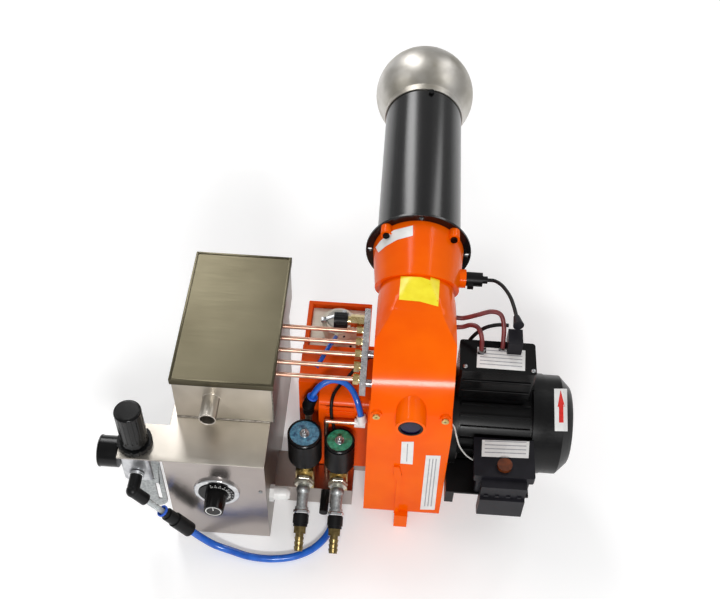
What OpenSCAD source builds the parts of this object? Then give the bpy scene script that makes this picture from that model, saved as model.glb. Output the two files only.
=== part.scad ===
// Waste oil burner: fan housing with blast tube, motor and controls on its right,
// and a control box with preheating tank, air regulator, valves and oil lines on its left.
// Origin: on the blast tube's axis, at the front face of the mounting flange.
// +Y points along the flame, +X towards the motor, +Z up.

/* [Blast tube and flame head] */
// Outside diameter of the blast tube
tube_d = 114; // [100:1:124]
// Wall of the blast tube
tube_wall = 2.5; // [1.5:0.5:4]
// Length of the blast tube past the flange face
tube_len = 284; // [220:1:340]
// How far the blast tube reaches into the collar
tube_insert = 32; // [28:1:34]
// Outside diameter of the ball-shaped flame head
head_d = 150; // [144:1:170]
// Wall of the flame head
head_wall = 1.8; // [1:0.2:3]
// Diameter of the flame head's open mouth
mouth_d = 100; // [80:1:110]
// Length of the sleeve that slips over the blast tube
sleeve_len = 12; // [8:1:20]

/* [Flange and collar] */
// Thickness of the mounting flange
flange_t = 4; // [3:0.5:8]
// Width of the flange's rim outside the collar
flange_rim = 11; // [10:0.5:20]
// Diameter of the flange's bolt holes
bolt_hole_d = 6.5; // [4.5:0.5:7]
// Wall of the collar round the blast tube
collar_wall = 3; // [2.5:0.5:5]
// Length of the collar along its top
collar_len = 86; // [80:1:110]
// How far the collar's rear end slants forward, per millimetre of height
collar_slant = 0.4; // [0:0.05:0.5]
// Diameter of the four screw lobes on the collar
lobe_d = 15; // [12:1:18]
// Length of the four screw lobes
lobe_len = 14; // [8:1:30]

/* [Fan housing] */
// Width of the housing across its flat sides
housing_w = 100; // [96:1:106]
// Wall of the housing
housing_wall = 3.5; // [2.5:0.5:5]
// Height of the blast tube's axis above the floor
axis_h = 272; // [260:1:300]
// Front of the housing, measured back from the flange face
housing_front = 262; // [250:1:280]
// Depth of the housing below the blast tube's axis
housing_drop = 254; // [248:1:258]
// Radius of the curve from the housing's top to its front
brow_r = 115; // [95:1:120]
// Radius of the scroll round the fan
scroll_r = 100; // [92:1:104]
// Radius of the lower front corner
corner_r = 13; // [8:1:40]
// Height of the front cover's seam below the blast tube's axis
seam_drop = 38; // [36:1:60]
// Depth of the front cover's sides
cover_depth = 37; // [25:1:45]
// Thickness of the front cover
cover_t = 2; // [1.5:0.5:4]
// Width of the foot under the front cover
foot_w = 18; // [12:1:30]
// Outside diameter of the sight glass boss
sight_boss_d = 37; // [34:1:42]
// Diameter of the sight glass
sight_glass_d = 30; // [20:1:31]
// Height of the sight glass below the blast tube's axis
sight_drop = 17; // [14:1:20]
// Length of the sight glass boss in front of the housing
sight_boss_len = 15; // [8:1:24]

/* [Fan and motor] */
// Fan and motor axis, measured back from the flange face
fan_back = 172; // [168:1:176]
// Fan and motor axis, below the blast tube's axis
fan_drop = 141; // [136:1:146]
// Outside diameter of the fan impeller
impeller_d = 136; // [110:1:150]
// Width of the fan impeller
impeller_w = 56; // [40:1:60]
// Number of impeller blades
blade_count = 32; // [20:1:40]
// Thickness of an impeller blade
blade_t = 1.2; // [0.8:0.1:2]
// Diameter of the eye where air enters the impeller
eye_d = 88; // [70:1:96]
// Diameter of the motor shaft
shaft_d = 14; // [11:1:16]
// Running clearance of the shaft, on the radius
shaft_play = 0.05; // [0.02:0.01:0.1]
// Diameter of the motor body without its fins
motor_d = 112; // [104:1:116]
// Height of the motor's fins
fin_h = 6; // [3:0.5:8]
// Thickness of a motor fin
fin_t = 2.5; // [1.5:0.5:4]
// Length of the finned motor body
motor_len = 96; // [88:1:104]
// Thickness of the motor's end shield
shield_t = 14; // [10:1:18]
// Diameter of the motor's end shield
shield_d = 138; // [132:1:144]
// Outside diameter of the fan cowl
cowl_d = 132; // [128:1:140]
// Length of the fan cowl
cowl_len = 54; // [48:1:80]
// Width of the slope round the fan cowl's end
cowl_slope = 15; // [6:1:20]
// Wall of the fan cowl
cowl_wall = 2; // [1.5:0.5:3]

/* [Electrical parts] */
// Length of the ignition transformer
transformer_l = 96; // [80:1:104]
// Depth of the ignition transformer
transformer_w = 50; // [40:1:56]
// Height of the ignition transformer
transformer_h = 58; // [40:1:62]
// Length of the control unit
unit_l = 77; // [66:1:84]
// Depth of the control unit
unit_w = 71; // [56:1:74]
// Height of the control unit's overhanging lid
unit_lid_h = 13; // [6:1:20]
// Height of the control unit
unit_h = 44; // [34:1:50]
// Diameter of the reset button
button_d = 19; // [12:1:22]
// Travel of the reset button
button_travel = 4; // [2:0.5:5]
// Length of the wiring plug
plug_l = 57; // [40:1:60]
// Height of the wiring plug
plug_h = 70; // [50:1:74]
// Thickness of the wiring plug
plug_t = 16; // [10:1:22]
// Diameter of the photocell
photocell_d = 19; // [14:1:22]
// Diameter of a high-voltage lead
lead_d = 6; // [4:0.5:7]
// Diameter of the photocell cable
cable_d = 5; // [4:0.5:6]

/* [Control box and tank] */
// Width of the control box
box_w = 128; // [120:1:140]
// Depth of the control box
box_l = 279; // [270:1:300]
// Height of the control box
box_h = 180; // [170:1:190]
// Sheet thickness of the box and the tank
sheet_t = 1.5; // [1:0.25:2.5]
// Gap between the control box and the fan housing's middle plane
box_offset = 177; // [172:1:184]
// Front of the control box, measured back from the flange face
box_front = 300; // [296:1:306]
// Width of the tank
tank_w = 126; // [116:1:128]
// Length of the tank
tank_l = 211; // [200:1:216]
// Height of the tank
tank_h = 80; // [70:1:90]
// Step from the control box's front to the tank's front
tank_step = 68; // [64:1:72]
// Height of the lid's turned-down edge
lid_edge = 8; // [5:1:14]
// Clearance between the lid's edge and the tank
lid_play = 0.5; // [0.3:0.1:1]
// Outside diameter of the filler stub
stub_d = 22; // [16:1:26]
// Wall of the filler stub
stub_wall = 2; // [1:0.5:3]
// Length of the filler stub
stub_len = 32; // [25:1:45]
// Diameter of the heating element
heater_d = 12; // [8:1:14]

/* [Thermostat and regulator] */
// Outside diameter of the thermostat's bezel
bezel_d = 60; // [54:1:66]
// Diameter of the thermostat's dial
dial_d = 46; // [36:1:48]
// Diameter of the thermostat knob's grip
grip_d = 27; // [20:1:32]
// Length of the thermostat knob's grip
grip_len = 25; // [15:1:30]
// Size of the regulator's square body
regulator_w = 38; // [34:1:40]
// Height of the regulator's body
regulator_h = 54; // [50:1:60]
// Diameter of the regulator's lock ring
ring_d = 44; // [40:1:48]
// Diameter of the regulator's knob
regulator_knob_d = 34; // [28:1:38]
// Height of the regulator's knob
regulator_knob_h = 62; // [40:1:66]
// Diameter of the pressure gauge
gauge_d = 40; // [32:1:44]
// Depth of the pressure gauge
gauge_t = 25; // [18:1:28]
// Diameter of the air hose
hose_d = 10; // [8:1:12]
// Diameter of the clear tube
clear_d = 8; // [6:1:9]

/* [Oil lines and valves] */
// Diameter of a copper oil pipe
pipe_d = 6; // [4:0.5:8]
// Number of copper oil pipes
pipe_count = 5; // [2:1:5]
// Spacing of the copper oil pipes
pipe_pitch = 19.5; // [17:0.5:21]
// Size of a pipe nut across its flats
nut_af = 12; // [10:1:14]
// Thickness of the manifold bar
bar_t = 8; // [5:1:10]
// Height of the manifold bar
bar_h = 26; // [16:1:30]
// Diameter of the metering valve's knob
metering_d = 21; // [16:1:24]
// Diameter of the larger coil
coil_a_d = 45; // [38:1:46]
// Diameter of the smaller coil
coil_b_d = 40; // [34:1:41]
// Height of a coil
coil_h = 50; // [40:1:52]
// Diameter of the valve outlet pipes
outlet_d = 15; // [12:1:18]
// Angle that the outlets turn down by
droop = 25; // [10:1:30]
// Diameter of a hose union
union_d = 21; // [18:1:24]
// Length of a hose union
union_len = 20; // [16:1:34]
// Diameter of a hose nipple
nipple_d = 11; // [8:1:13]
// Length of a hose nipple
nipple_len = 32; // [28:1:42]
// Diameter of a short blue hose
short_hose_d = 8; // [6:1:9]

/* [Hidden] */
$fn = 64;
touch = 0.01;
slip = 0.15;      // sliding clearance on a radius
screw_d = 5;      // all small screws are this size
screw_head_d = 9;
screw_head_h = 3;
screw_play = 0.2; // clearance of a screw in its hole, on the radius

tube_r = tube_d / 2;
collar_r = tube_r + slip + collar_wall;
flange_r = collar_r + flange_rim;
pcd_r = collar_r + flange_rim / 2;
half_w = housing_w / 2;
cover_half = half_w + cover_t;
neck_r = half_w;
floor_z = -axis_h;
front_y = -housing_front;
bottom_z = -housing_drop;
fan_y = -fan_back;
fan_z = -fan_drop;
seam_z = -seam_drop;
square_y = front_y + 18; // here the round neck's corners have run out
collar_y = -flange_t - collar_len;
head_y = tube_len + sqrt(pow(head_d / 2, 2) - pow(tube_r + slip + head_wall, 2));
mouth_y = head_y + sqrt(pow(head_d / 2, 2) - pow(mouth_d / 2, 2));
lobe_r = collar_r + 3;
collar_rear_r = neck_r + 3.5;
collar_front_r = collar_r + 1;
photocell_y = -46;
screw_y = tube_len - sleeve_len - screw_head_d / 2 - 1.5;

// Motor, along X from the housing's right side
shield_x = half_w;
motor_x = shield_x + shield_t;
cowl_x = motor_x + motor_len;
cowl_end = cowl_x + cowl_len;
motor_r = motor_d / 2;

// Control box
box_x1 = -box_offset;
box_x0 = box_x1 - box_w;
box_y0 = -box_front;
box_top = floor_z + box_h;
tank_x0 = (box_x0 + box_x1 - tank_w) / 2 + 6;
tank_x1 = tank_x0 + tank_w;
tank_y0 = box_y0 + tank_step;
tank_y1 = tank_y0 + tank_l;
tank_top = box_top + tank_h;
stub_x = tank_x0 + 48;
stub_z = box_top + 44;
dial_x = (box_x0 + box_x1) / 2;
dial_z = box_top - 64;
bezel_t = 4;

// Regulator, on the box's side shelf
shelf_w = 58;
shelf_l = 54;
shelf_t = 2;
reg_x = box_x0 - 38;
reg_y = box_y0 + 24;
thread_d = 30;
ring_h = 8;
reg_top = box_top - shelf_t;
port_z = reg_top - regulator_h + 14;
gauge_z = reg_top - 22;

// Elbow corner on the regulator and the start of the air hose
elbow_corner = [reg_x, reg_y - regulator_w / 2 - 26, port_z];
hose_start = [-280, elbow_corner[1], -227];

// Oil manifold
bar_x1 = -half_w - 8;
bar_x0 = bar_x1 - bar_t;
pipe_z = tank_top - 30;
pipe_y0 = -113;
nut_len = 9;

// Valves, on a channel between the box and the housing
channel_h = 38;
channel_top = floor_z + channel_h;
channel_x1 = -half_w - 19;
channel_y0 = -242;
channel_l = 57;
valve_a = [-134, -229];
valve_b = [-88, -229];
valve_z = channel_top + 30;
coil_a_top = channel_top + 115;
coil_b_top = channel_top + 104;
bend_y = valve_a[1] - 33;

// Routes of the free hoses and cables
air_hose_route = [
  hose_start + 0.25 * unit(hose_start - elbow_corner), [-267, hose_start[1], -246.2], [-249, -324, -260],
  [-226, -328, -266], [-200, -334, -267], [-170, -335, -267], [-140, -329, -267], [-115, -315, -266],
  [-98, -294, -263], [-91.5, -268, -260], [-91, -254.3, -259]
];
nozzle_hose_route = [
  [-128, -190, -92], [-125, -189, -82], [-117, -184, -71], [-103, -179, -65], [-87, -181, -65],
  [-75, -190, -69], [-67, -202, -79], [-62, -211, -94]
];
switch_hose_route = [
  [-104, -98, -78], [-106, -110, -70], [-112, -128, -64], [-119, -146, -65], [-125, -156, -70]
];
photocell_cable_route = [
  [93.3, -46, 0], [103, -46.6, 0], [112, -60, 6], [120, -84, 14], [124, -108, 20], [126, -124, 22]
];
lead_long_route = [
  [half_w + 0.3, -117, 4], [62, -117.5, 5], [78, -120, 16], [94, -120, 24], [106, -124, 24], [111, -134, 14],
  [112, -146, -2], [112, -150, -10]
];
lead_short_route = [
  [half_w + 0.3, -133, 4], [60, -133, 6], [70, -134, 12], [79, -140, 14], [84, -150, 6], [85, -156, -10]
];

// Straight pieces along an axis

module rod_x(x0, x1, r, y = 0, z = 0) {
  translate([x0, y, z]) rotate([0, 90, 0]) cylinder(h = x1 - x0, r = r);
}
module rod_y(y0, y1, r, x = 0, z = 0) {
  translate([x, y0, z]) rotate([-90, 0, 0]) cylinder(h = y1 - y0, r = r);
}
module rod_z(z0, z1, r, x = 0, y = 0) {
  translate([x, y, z0]) cylinder(h = z1 - z0, r = r);
}
module block(low, high) {
  translate(low) cube(high - low);
}
// A slab from x0 to x1 whose outline is given as [y, z] points
module side_slab(points, x0, x1) {
  translate([x0, 0, 0]) rotate([90, 0, 90]) linear_extrude(x1 - x0) polygon(points);
}
// A plan outline of [x, y] points, raised from z0 to z1
module plan_slab(points, z0, z1) {
  translate([0, 0, z0]) linear_extrude(z1 - z0) polygon(points);
}
// A hexagonal prism along X, size across its flats
module hex_x(x0, x1, flats, y, z) {
  translate([x0, y, z]) rotate([0, 90, 0]) cylinder(h = x1 - x0, r = flats / sqrt(3), $fn = 6);
}
module hex_y(y0, y1, flats, x, z) {
  translate([x, y0, z]) rotate([-90, 0, 0]) cylinder(h = y1 - y0, r = flats / sqrt(3), $fn = 6);
}
// Turns +Z to the direction v and moves to the point p
module aim(p, v) {
  translate(p) rotate([0, acos(v[2] / norm(v)), atan2(v[1], v[0])]) children();
}

function arc(cx, cy, r, a0, a1, n) = [for (i = [0 : n]) [
  cx + r * cos(a0 + (a1 - a0) * i / n), cy + r * sin(a0 + (a1 - a0) * i / n)
]];
// Outline of a rectangle with round corners
function round_rect(x0, y0, x1, y1, r, n = 6) = concat(
  arc(x1 - r, y1 - r, r, 0, 90, n), arc(x0 + r, y1 - r, r, 90, 180, n),
  arc(x0 + r, y0 + r, r, 180, 270, n), arc(x1 - r, y0 + r, r, 270, 360, n)
);

// Hoses and cables: a tube swept along a smooth curve through the route's points

function unit(v) = v / norm(v);
function at(p, i) = i < 0 ? 2 * p[0] - p[1] : i >= len(p) ? 2 * p[len(p) - 1] - p[len(p) - 2] : p[i];
function between(a, b, c, d, t) = 0.5 * (
  2 * b + (c - a) * t + (2 * a - 5 * b + 4 * c - d) * t * t + (3 * b - a - 3 * c + d) * t * t * t
);
function smooth(p, steps) = concat(
  [for (i = [0 : len(p) - 2], j = [0 : steps - 1])
    between(at(p, i - 1), at(p, i), at(p, i + 1), at(p, i + 2), j / steps)],
  [p[len(p) - 1]]
);
function heading(p, i) = unit(at(p, i + 1) - at(p, i - 1));
function carried(p, i) = i == 0
  ? unit(cross(heading(p, 0), abs(heading(p, 0)[2]) < 0.9 ? [0, 0, 1] : [1, 0, 0]))
  : let (n = carried(p, i - 1), t = heading(p, i)) unit(n - (n * t) * t);
function ring(p, i, r, sides) = let (n = carried(p, i), b = cross(heading(p, i), n))
  [for (k = [0 : sides - 1]) p[i] + r * (cos(360 * k / sides) * n + sin(360 * k / sides) * b)];

module hose(route, d, steps = 1, sides = 10) {
  p = smooth(route, steps);
  rings = len(p);
  points = [for (i = [0 : rings - 1]) each ring(p, i, d / 2, sides)];
  walls = [for (i = [0 : rings - 2], k = [0 : sides - 1]) let (m = (k + 1) % sides) [
    i * sides + k, (i + 1) * sides + k, (i + 1) * sides + m, i * sides + m
  ]];
  near = [for (k = [0 : sides - 1]) k];
  far = [for (k = [sides - 1 : -1 : 0]) (rings - 1) * sides + k];
  polyhedron(points, concat([near, far], walls), convexity = 6);
}

// Fan housing

// Side outline of the fan housing up to the collar, drawn in by a wall or a step
function volute_outline(inset) = concat(
  [[collar_end(neck_r - inset) + (inset > 0 ? 1 : 0), neck_r - inset]],
  arc(front_y + brow_r, neck_r - brow_r, brow_r - inset, 90, 180, 16),
  arc(front_y + corner_r, bottom_z + corner_r, corner_r - inset, 180, 270, 6),
  arc(fan_y, bottom_z + scroll_r, scroll_r - inset, 270, 372, 18),
  [[collar_y - 22 - inset, -neck_r + inset / 2],
   [collar_end(-neck_r) + (inset > 0 ? 1 : 0), -neck_r + inset / 2]]
);
// The slanted plane in which the neck meets the collar
function collar_end(z) = collar_y + collar_slant * (neck_r - z);

// What is cut off a square neck to make it round at the collar
module neck_corners(grow) {
  slope = (neck_r * sqrt(2) + 0.8 - neck_r) / (collar_y - square_y);
  extra = 60;
  difference() {
    union() {
      block([-half_w - 1, front_y - 1, 0], [half_w + 1, collar_y + 50, neck_r + 1]);
      block([-half_w - 1, collar_y - 22, -neck_r - 1], [half_w + 1, collar_y + 50, 1]);
    }
    rotate([0, 20, 0]) translate([0, square_y - extra, 0]) rotate([-90, 0, 0]) cylinder(
      h = collar_y - square_y + 2 * extra,
      r1 = neck_r * sqrt(2) + 1 + grow + slope * extra,
      r2 = neck_r + 0.2 + grow - slope * extra
    );
  }
}

module collar_lobes(y0, y1, r) {
  for (a = [45 : 90 : 315]) rotate([0, a, 0]) rod_y(y0, y1, r, lobe_r, 0);
}

module cover_area(inset, reach) {
  intersection() {
    side_slab(volute_outline(inset), -half_w - reach, half_w + reach);
    block([-housing_w, front_y - 1, bottom_z - 1], [housing_w, front_y + cover_depth, seam_z]);
  }
}

module screw_x(side, y, z) {
  mirror([side < 0 ? 1 : 0, 0, 0]) rod_x(collar_r, collar_r + screw_head_h, screw_head_d / 2, y, z);
}

cover_screw_z = seam_z + 14;
cover_screw_y = front_y + brow_r - sqrt(pow(brow_r, 2) - pow(cover_screw_z - neck_r + brow_r, 2));

module volute_housing() color("OrangeRed") {
  difference() {
    union() {
      difference() {
        side_slab(volute_outline(0), -half_w, half_w);
        difference() {
          cover_area(-1, 1);
          cover_area(cover_t + slip, 2);
        }
        neck_corners(0);
      }
      // ears for the cover screws
      for (s = [-1, 1]) rod_y(cover_screw_y - 2, cover_screw_y + 14, 7, s * (half_w - 8), cover_screw_z);
    }
    // room for the fan, and its way out through the neck
    difference() {
      side_slab(volute_outline(cover_t + housing_wall), -half_w + housing_wall, half_w - housing_wall);
      neck_corners(-housing_wall);
    }
    // eye of the fan on the left, opening for the motor's end shield on the right
    rod_x(-half_w - 1, -half_w + housing_wall + 1, eye_d / 2, fan_y, fan_z);
    rod_x(half_w - housing_wall - 1, half_w + 1, impeller_d / 2 + 1, fan_y, fan_z);
    // service opening behind the front cover
    block([-half_w + 10, front_y - 1, bottom_z + 34], [half_w - 10, front_y + 14, seam_z - 14]);
    for (s = [-1, 1]) {
      rod_y(cover_screw_y - 3, cover_screw_y + 8, screw_d / 2 + screw_play, s * (half_w - 8), cover_screw_z);
    }
    // sight glass way
    rod_y(front_y - 12, front_y + 60, sight_glass_d / 2 - 4, 0, -sight_drop);
  }
  difference() {
    rod_y(front_y - sight_boss_len, front_y + 26, sight_boss_d / 2, 0, -sight_drop);
    rod_y(front_y - sight_boss_len - 1, front_y + 27, sight_glass_d / 2 - 4, 0, -sight_drop);
    rod_y(front_y - sight_boss_len - 1, sight_glass_y + 3, sight_glass_d / 2 + slip, 0, -sight_drop);
    side_slab(volute_outline(housing_wall), -half_w, half_w);
  }
}

sight_glass_y = front_y - sight_boss_len + 2;

module housing_neck() color("OrangeRed") {
  // collar with its screw lobes and the photocell's seat
  difference() {
    union() {
      rotate([0, 20, 0]) translate([0, collar_y, 0]) rotate([-90, 0, 0])
        cylinder(h = collar_len, r1 = collar_rear_r, r2 = collar_front_r);
      collar_lobes(-flange_t - lobe_len, -flange_t, lobe_d / 2);
      rod_x(collar_r - 6, collar_r + 4, photocell_d / 2 + 3, photocell_y, 0);
    }
    // slanted end that meets the neck
    side_slab([
      [collar_end(90), 90], [collar_end(-90), -90], [collar_y - 40, -90], [collar_y - 40, 90]
    ], -90, 90);
    rotate([0, 20, 0]) rod_y(collar_y - 1, -flange_t + 1, neck_r - housing_wall);
    rotate([0, 20, 0]) rod_y(-tube_insert - slip, -flange_t + 1, tube_r + slip);
    collar_lobes(-flange_t - lobe_len - 1, -flange_t + 1, screw_d / 2 + screw_play);
    collar_lobes(-flange_t - lobe_len - screw_head_h - 2, -flange_t - lobe_len, screw_head_d / 2 + screw_play);
    rod_x(collar_r - 14, collar_r + 5, 6, photocell_y, 0);
  }
}

module front_cover() color("OrangeRed") {
  difference() {
    union() {
      difference() {
        cover_area(0, cover_t);
        cover_area(cover_t, slip);
      }
      // rib down to the foot, with a knob at its top
      block([-10, front_y - 3, bottom_z + 8], [-4, front_y + 1, bottom_z + 104]);
      hull() {
        block([-15, front_y - 3, bottom_z + 106], [-8, front_y + 1, bottom_z + 128]);
        block([-10, front_y - 3, bottom_z + 96], [-4, front_y + 1, bottom_z + 106]);
      }
      block([-foot_w / 2, front_y - 9, floor_z], [foot_w / 2, front_y + 2, bottom_z + 12]);
    }
    rod_y(front_y - sight_boss_len - 1, front_y + 30, sight_boss_d / 2 + slip, 0, -sight_drop);
    rod_x(half_w, cover_half + 1, shield_d / 2 + 1, fan_y, fan_z);
  }
}

module mounting_flange() color("Black") {
  difference() {
    rod_y(-flange_t, 0, flange_r);
    rod_y(-flange_t - 1, 1, tube_r + slip);
    for (a = [0 : 90 : 270]) rotate([0, a, 0]) rod_y(-flange_t - 1, 1, bolt_hole_d / 2, pcd_r, 0);
    collar_lobes(-flange_t - 1, 1, screw_d / 2 + screw_play);
  }
}

module blast_tube() color([0.08, 0.08, 0.08]) {
  difference() {
    rod_y(-tube_insert, tube_len, tube_r);
    rod_y(-tube_insert - 1, tube_len + 1, tube_r - tube_wall);
    rod_z(tube_r - tube_wall - 1, tube_r + 1, screw_d / 2 + screw_play, 8, screw_y);
  }
}

module flame_head() color([0.75, 0.73, 0.7]) {
  ball_r = head_d / 2;
  near_a = asin((tube_len - head_y) / ball_r);
  far_a = asin((mouth_y - head_y) / ball_r);
  outline = concat(
    [[tube_r + slip, tube_len - sleeve_len], [tube_r + slip + head_wall, tube_len - sleeve_len]],
    [for (a = [near_a : (far_a - near_a) / 20 : far_a + touch]) [ball_r * cos(a), head_y + ball_r * sin(a)]],
    [for (a = [far_a : (near_a - far_a) / 20 : near_a - touch])
      [(ball_r - head_wall) * cos(a), head_y + (ball_r - head_wall) * sin(a)]]
  );
  rotate([-90, 0, 0]) rotate_extrude($fn = 96) polygon(outline);
}

module screw(p, v, shank) {
  aim(p, v) {
    cylinder(h = screw_head_h, d = screw_head_d);
    translate([0, 0, -shank]) cylinder(h = shank + touch, d = screw_d);
  }
}

module screws() color("DimGray") {
  for (a = [45 : 90 : 315]) rotate([0, a, 0]) {
    screw([lobe_r, -flange_t - lobe_len, 0], [0, -1, 0], lobe_len + flange_t - 1);
  }
  for (s = [-1, 1]) screw([s * (half_w - 8), cover_screw_y - 2, cover_screw_z], [0, -1, 0], 9);
  screw([8, screw_y, tube_r], [0, 0, 1], tube_wall);
}

module sight_glass() color("MidnightBlue", 0.8) {
  rod_y(sight_glass_y, sight_glass_y + 3, sight_glass_d / 2, 0, -sight_drop);
}

// Inside the blast tube

lance_y0 = -150;
nozzle_y = tube_len + 2;
disc_y = tube_len - 14;

module oil_lance() color("Silver") {
  rod_y(lance_y0, disc_y - 4, 8);
  rod_y(disc_y - 4, disc_y + 4, 11);
  // spider that centres the lance in the tube
  difference() {
    union() {
      for (a = [0 : 120 : 240]) rotate([0, a, 0]) block([7, 40, -1], [tube_r - tube_wall - slip, 60, 1]);
      for (a = [30 : 120 : 270]) rotate([0, a, 0]) block([7, 190, -1], [tube_r - tube_wall - slip, 210, 1]);
    }
  }
}

module spray_nozzle() color("Goldenrod") {
  difference() {
    union() {
      hex_y(disc_y + 4, disc_y + 14, 16, 0, 0);
      translate([0, disc_y + 14, 0]) rotate([-90, 0, 0]) cylinder(h = 8, r1 = 7, r2 = 4);
    }
    rod_y(disc_y + 10, disc_y + 23, 1);
  }
}

module diffuser_disc() color("DarkSlateGray") {
  difference() {
    rod_y(disc_y - 1, disc_y + 1, 42);
    rod_y(disc_y - 2, disc_y + 2, 11 + slip);
    for (a = [0 : 30 : 330]) rotate([0, a, 0]) rotate([0, 0, 0]) block([18, disc_y - 2, -1.2], [38, disc_y + 2, 1.2]);
    for (x = [-14, 14]) rod_y(disc_y - 2, disc_y + 2, 2.6, x, 15);
  }
}

module electrodes() color("WhiteSmoke") {
  for (x = [-14, 14]) {
    rod_y(disc_y - 60, disc_y - 2, 5, x, 15);
    rod_y(disc_y - 2 - touch, disc_y + 20, 1.5, x, 15);
    aim([x, disc_y + 20, 15], [-x, 8, -6]) translate([0, 0, -1]) cylinder(h = 12, r = 1.5);
    rod_y(disc_y - 90, disc_y - 60 + touch, 1.5, x, 15);
  }
  // bridge that clamps both electrodes on the lance
  difference() {
    block([-21, disc_y - 46, -1], [21, disc_y - 34, 22]);
    rod_y(disc_y - 47, disc_y - 33, 8 + touch, 0, 0);
    block([-22, disc_y - 47, -2], [22, disc_y - 33, 0]);
  }
}

// Fan and motor, on the axis at fan_y and fan_z

hub_x1 = half_w - housing_wall - 2;
impeller_x0 = hub_x1 - impeller_w;

module impeller() color("Silver") {
  r0 = eye_d / 2 + 2;
  r1 = impeller_d / 2;
  difference() {
    union() {
      rod_x(hub_x1 - 2, hub_x1, r1, fan_y, fan_z);
      rod_x(hub_x1 - 26, hub_x1, shaft_d / 2 + 7, fan_y, fan_z);
      difference() {
        rod_x(impeller_x0, impeller_x0 + 2, r1, fan_y, fan_z);
        rod_x(impeller_x0 - 1, impeller_x0 + 3, r0, fan_y, fan_z);
      }
      // forward-curved blades between the back plate and the front ring
      translate([impeller_x0 + 1, fan_y, fan_z]) rotate([90, 0, 90]) linear_extrude(impeller_w - 2)
        for (i = [0 : blade_count - 1]) rotate(360 * i / blade_count) polygon(concat(
          [for (k = [0 : 5]) let (r = r0 + (r1 - r0 - 0.5) * k / 5, a = 22 * pow(k / 5, 1.6)) r * [cos(a), sin(a)]],
          [for (k = [5 : -1 : 0]) let (
            r = r0 + (r1 - r0 - 0.5) * k / 5,
            a = 22 * pow(k / 5, 1.6) + blade_t / r * 180 / PI
          ) r * [cos(a), sin(a)]]
        ));
    }
    rod_x(hub_x1 - 27, hub_x1 + 1, shaft_d / 2, fan_y, fan_z);
  }
}

module motor_rotor() color("Gray") {
  rod_x(hub_x1 - 26, cowl_x + 30, shaft_d / 2, fan_y, fan_z);
  rod_x(motor_x + 14, cowl_x - 14, motor_r * 0.5, fan_y, fan_z);
}

module motor_flange() color([0.1, 0.1, 0.1]) {
  difference() {
    union() {
      rod_x(shield_x, motor_x, shield_d / 2, fan_y, fan_z);
      // spigot in the housing's opening
      rod_x(shield_x - housing_wall, shield_x + 1, impeller_d / 2 + 1 - slip, fan_y, fan_z);
      // bracket that carries the control unit
      block([shield_x + 3, unit_y0, unit_z0 - 3], [cowl_x - 1, fan_y - motor_r + 4, unit_z0]);
      block([shield_x + 3, unit_y0, unit_z0 - 26], [motor_x, fan_y, unit_z0]);
    }
    rod_x(shield_x - housing_wall - 1, motor_x + 1, shaft_d / 2 + shaft_play, fan_y, fan_z);
    rod_x(motor_x - 4, unit_x1 + 1, motor_r + fin_h + 0.3, fan_y, fan_z);
  }
  // shoulder that closes the cut again up to the motor body
  difference() {
    rod_x(motor_x - 5, motor_x, shield_d / 2, fan_y, fan_z);
    rod_x(motor_x - 6, motor_x + 1, shaft_d / 2 + shaft_play, fan_y, fan_z);
  }
}

module motor_body() color([0.08, 0.08, 0.08]) {
  difference() {
    union() {
      rod_x(motor_x, cowl_x, motor_r, fan_y, fan_z);
      // cooling fins along the body
      for (a = [0 : 15 : 345]) translate([0, fan_y, fan_z]) rotate([a, 0, 0]) {
        block([motor_x + 3, motor_r - 2, -fin_t / 2], [cowl_x - 3, motor_r + fin_h, fin_t / 2]);
      }
      // pad under the transformer
      block([transformer_x0 + 8, transformer_y0 + 6, fan_z], [transformer_x1 - 8, transformer_y1, transformer_z0]);
    }
    rod_x(motor_x + 12, cowl_x - 12, motor_r * 0.5 + 1, fan_y, fan_z);
    rod_x(motor_x - 1, cowl_x + 1, shaft_d / 2 + shaft_play, fan_y, fan_z);
  }
}

module fan_cowl() color([0.08, 0.08, 0.08]) {
  r = cowl_d / 2;
  rim = r - cowl_slope - 1;
  outline = [
    [r - cowl_wall, 0], [r + 1, 0], [r + 1, 17], [r, 18.5], [r, cowl_len - cowl_slope],
    [rim + 2, cowl_len - 1], [rim, cowl_len], [0, cowl_len], [0, cowl_len - cowl_wall],
    [rim, cowl_len - cowl_wall], [r - cowl_wall, cowl_len - cowl_slope - 1]
  ];
  difference() {
    translate([cowl_x, fan_y, fan_z]) rotate([0, 90, 0]) rotate_extrude($fn = 96) polygon(outline);
    // air slots in the cowl's end
    for (rr = [14 : 10 : 44], a = [0 : 60 : 300]) translate([cowl_end - 4, fan_y, fan_z]) rotate([a, 0, 0])
      rotate([90, 0, 90]) linear_extrude(8) polygon(concat(arc(0, 0, rr, 4, 56, 6), arc(0, 0, rr + 5, 56, 4, 6)));
  }
  // ring that seats the cowl on the motor body
  difference() {
    rod_x(cowl_x, cowl_x + 6, r - cowl_wall + touch, fan_y, fan_z);
    rod_x(cowl_x - 1, cowl_x + 7, motor_r - 8, fan_y, fan_z);
  }
}

module cooling_fan() color([0.15, 0.15, 0.15]) {
  x0 = cowl_x + 10;
  difference() {
    union() {
      rod_x(x0, x0 + 20, 16, fan_y, fan_z);
      rod_x(x0, x0 + 2, motor_r - 6, fan_y, fan_z);
      for (i = [0 : 7]) translate([0, fan_y, fan_z]) rotate([360 * i / 8, 0, 0])
        block([x0 + 1, 14, -1], [x0 + 20, motor_r - 6, 1]);
    }
    rod_x(x0 - 1, x0 + 21, shaft_d / 2, fan_y, fan_z);
  }
}

// Electrical parts

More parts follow.
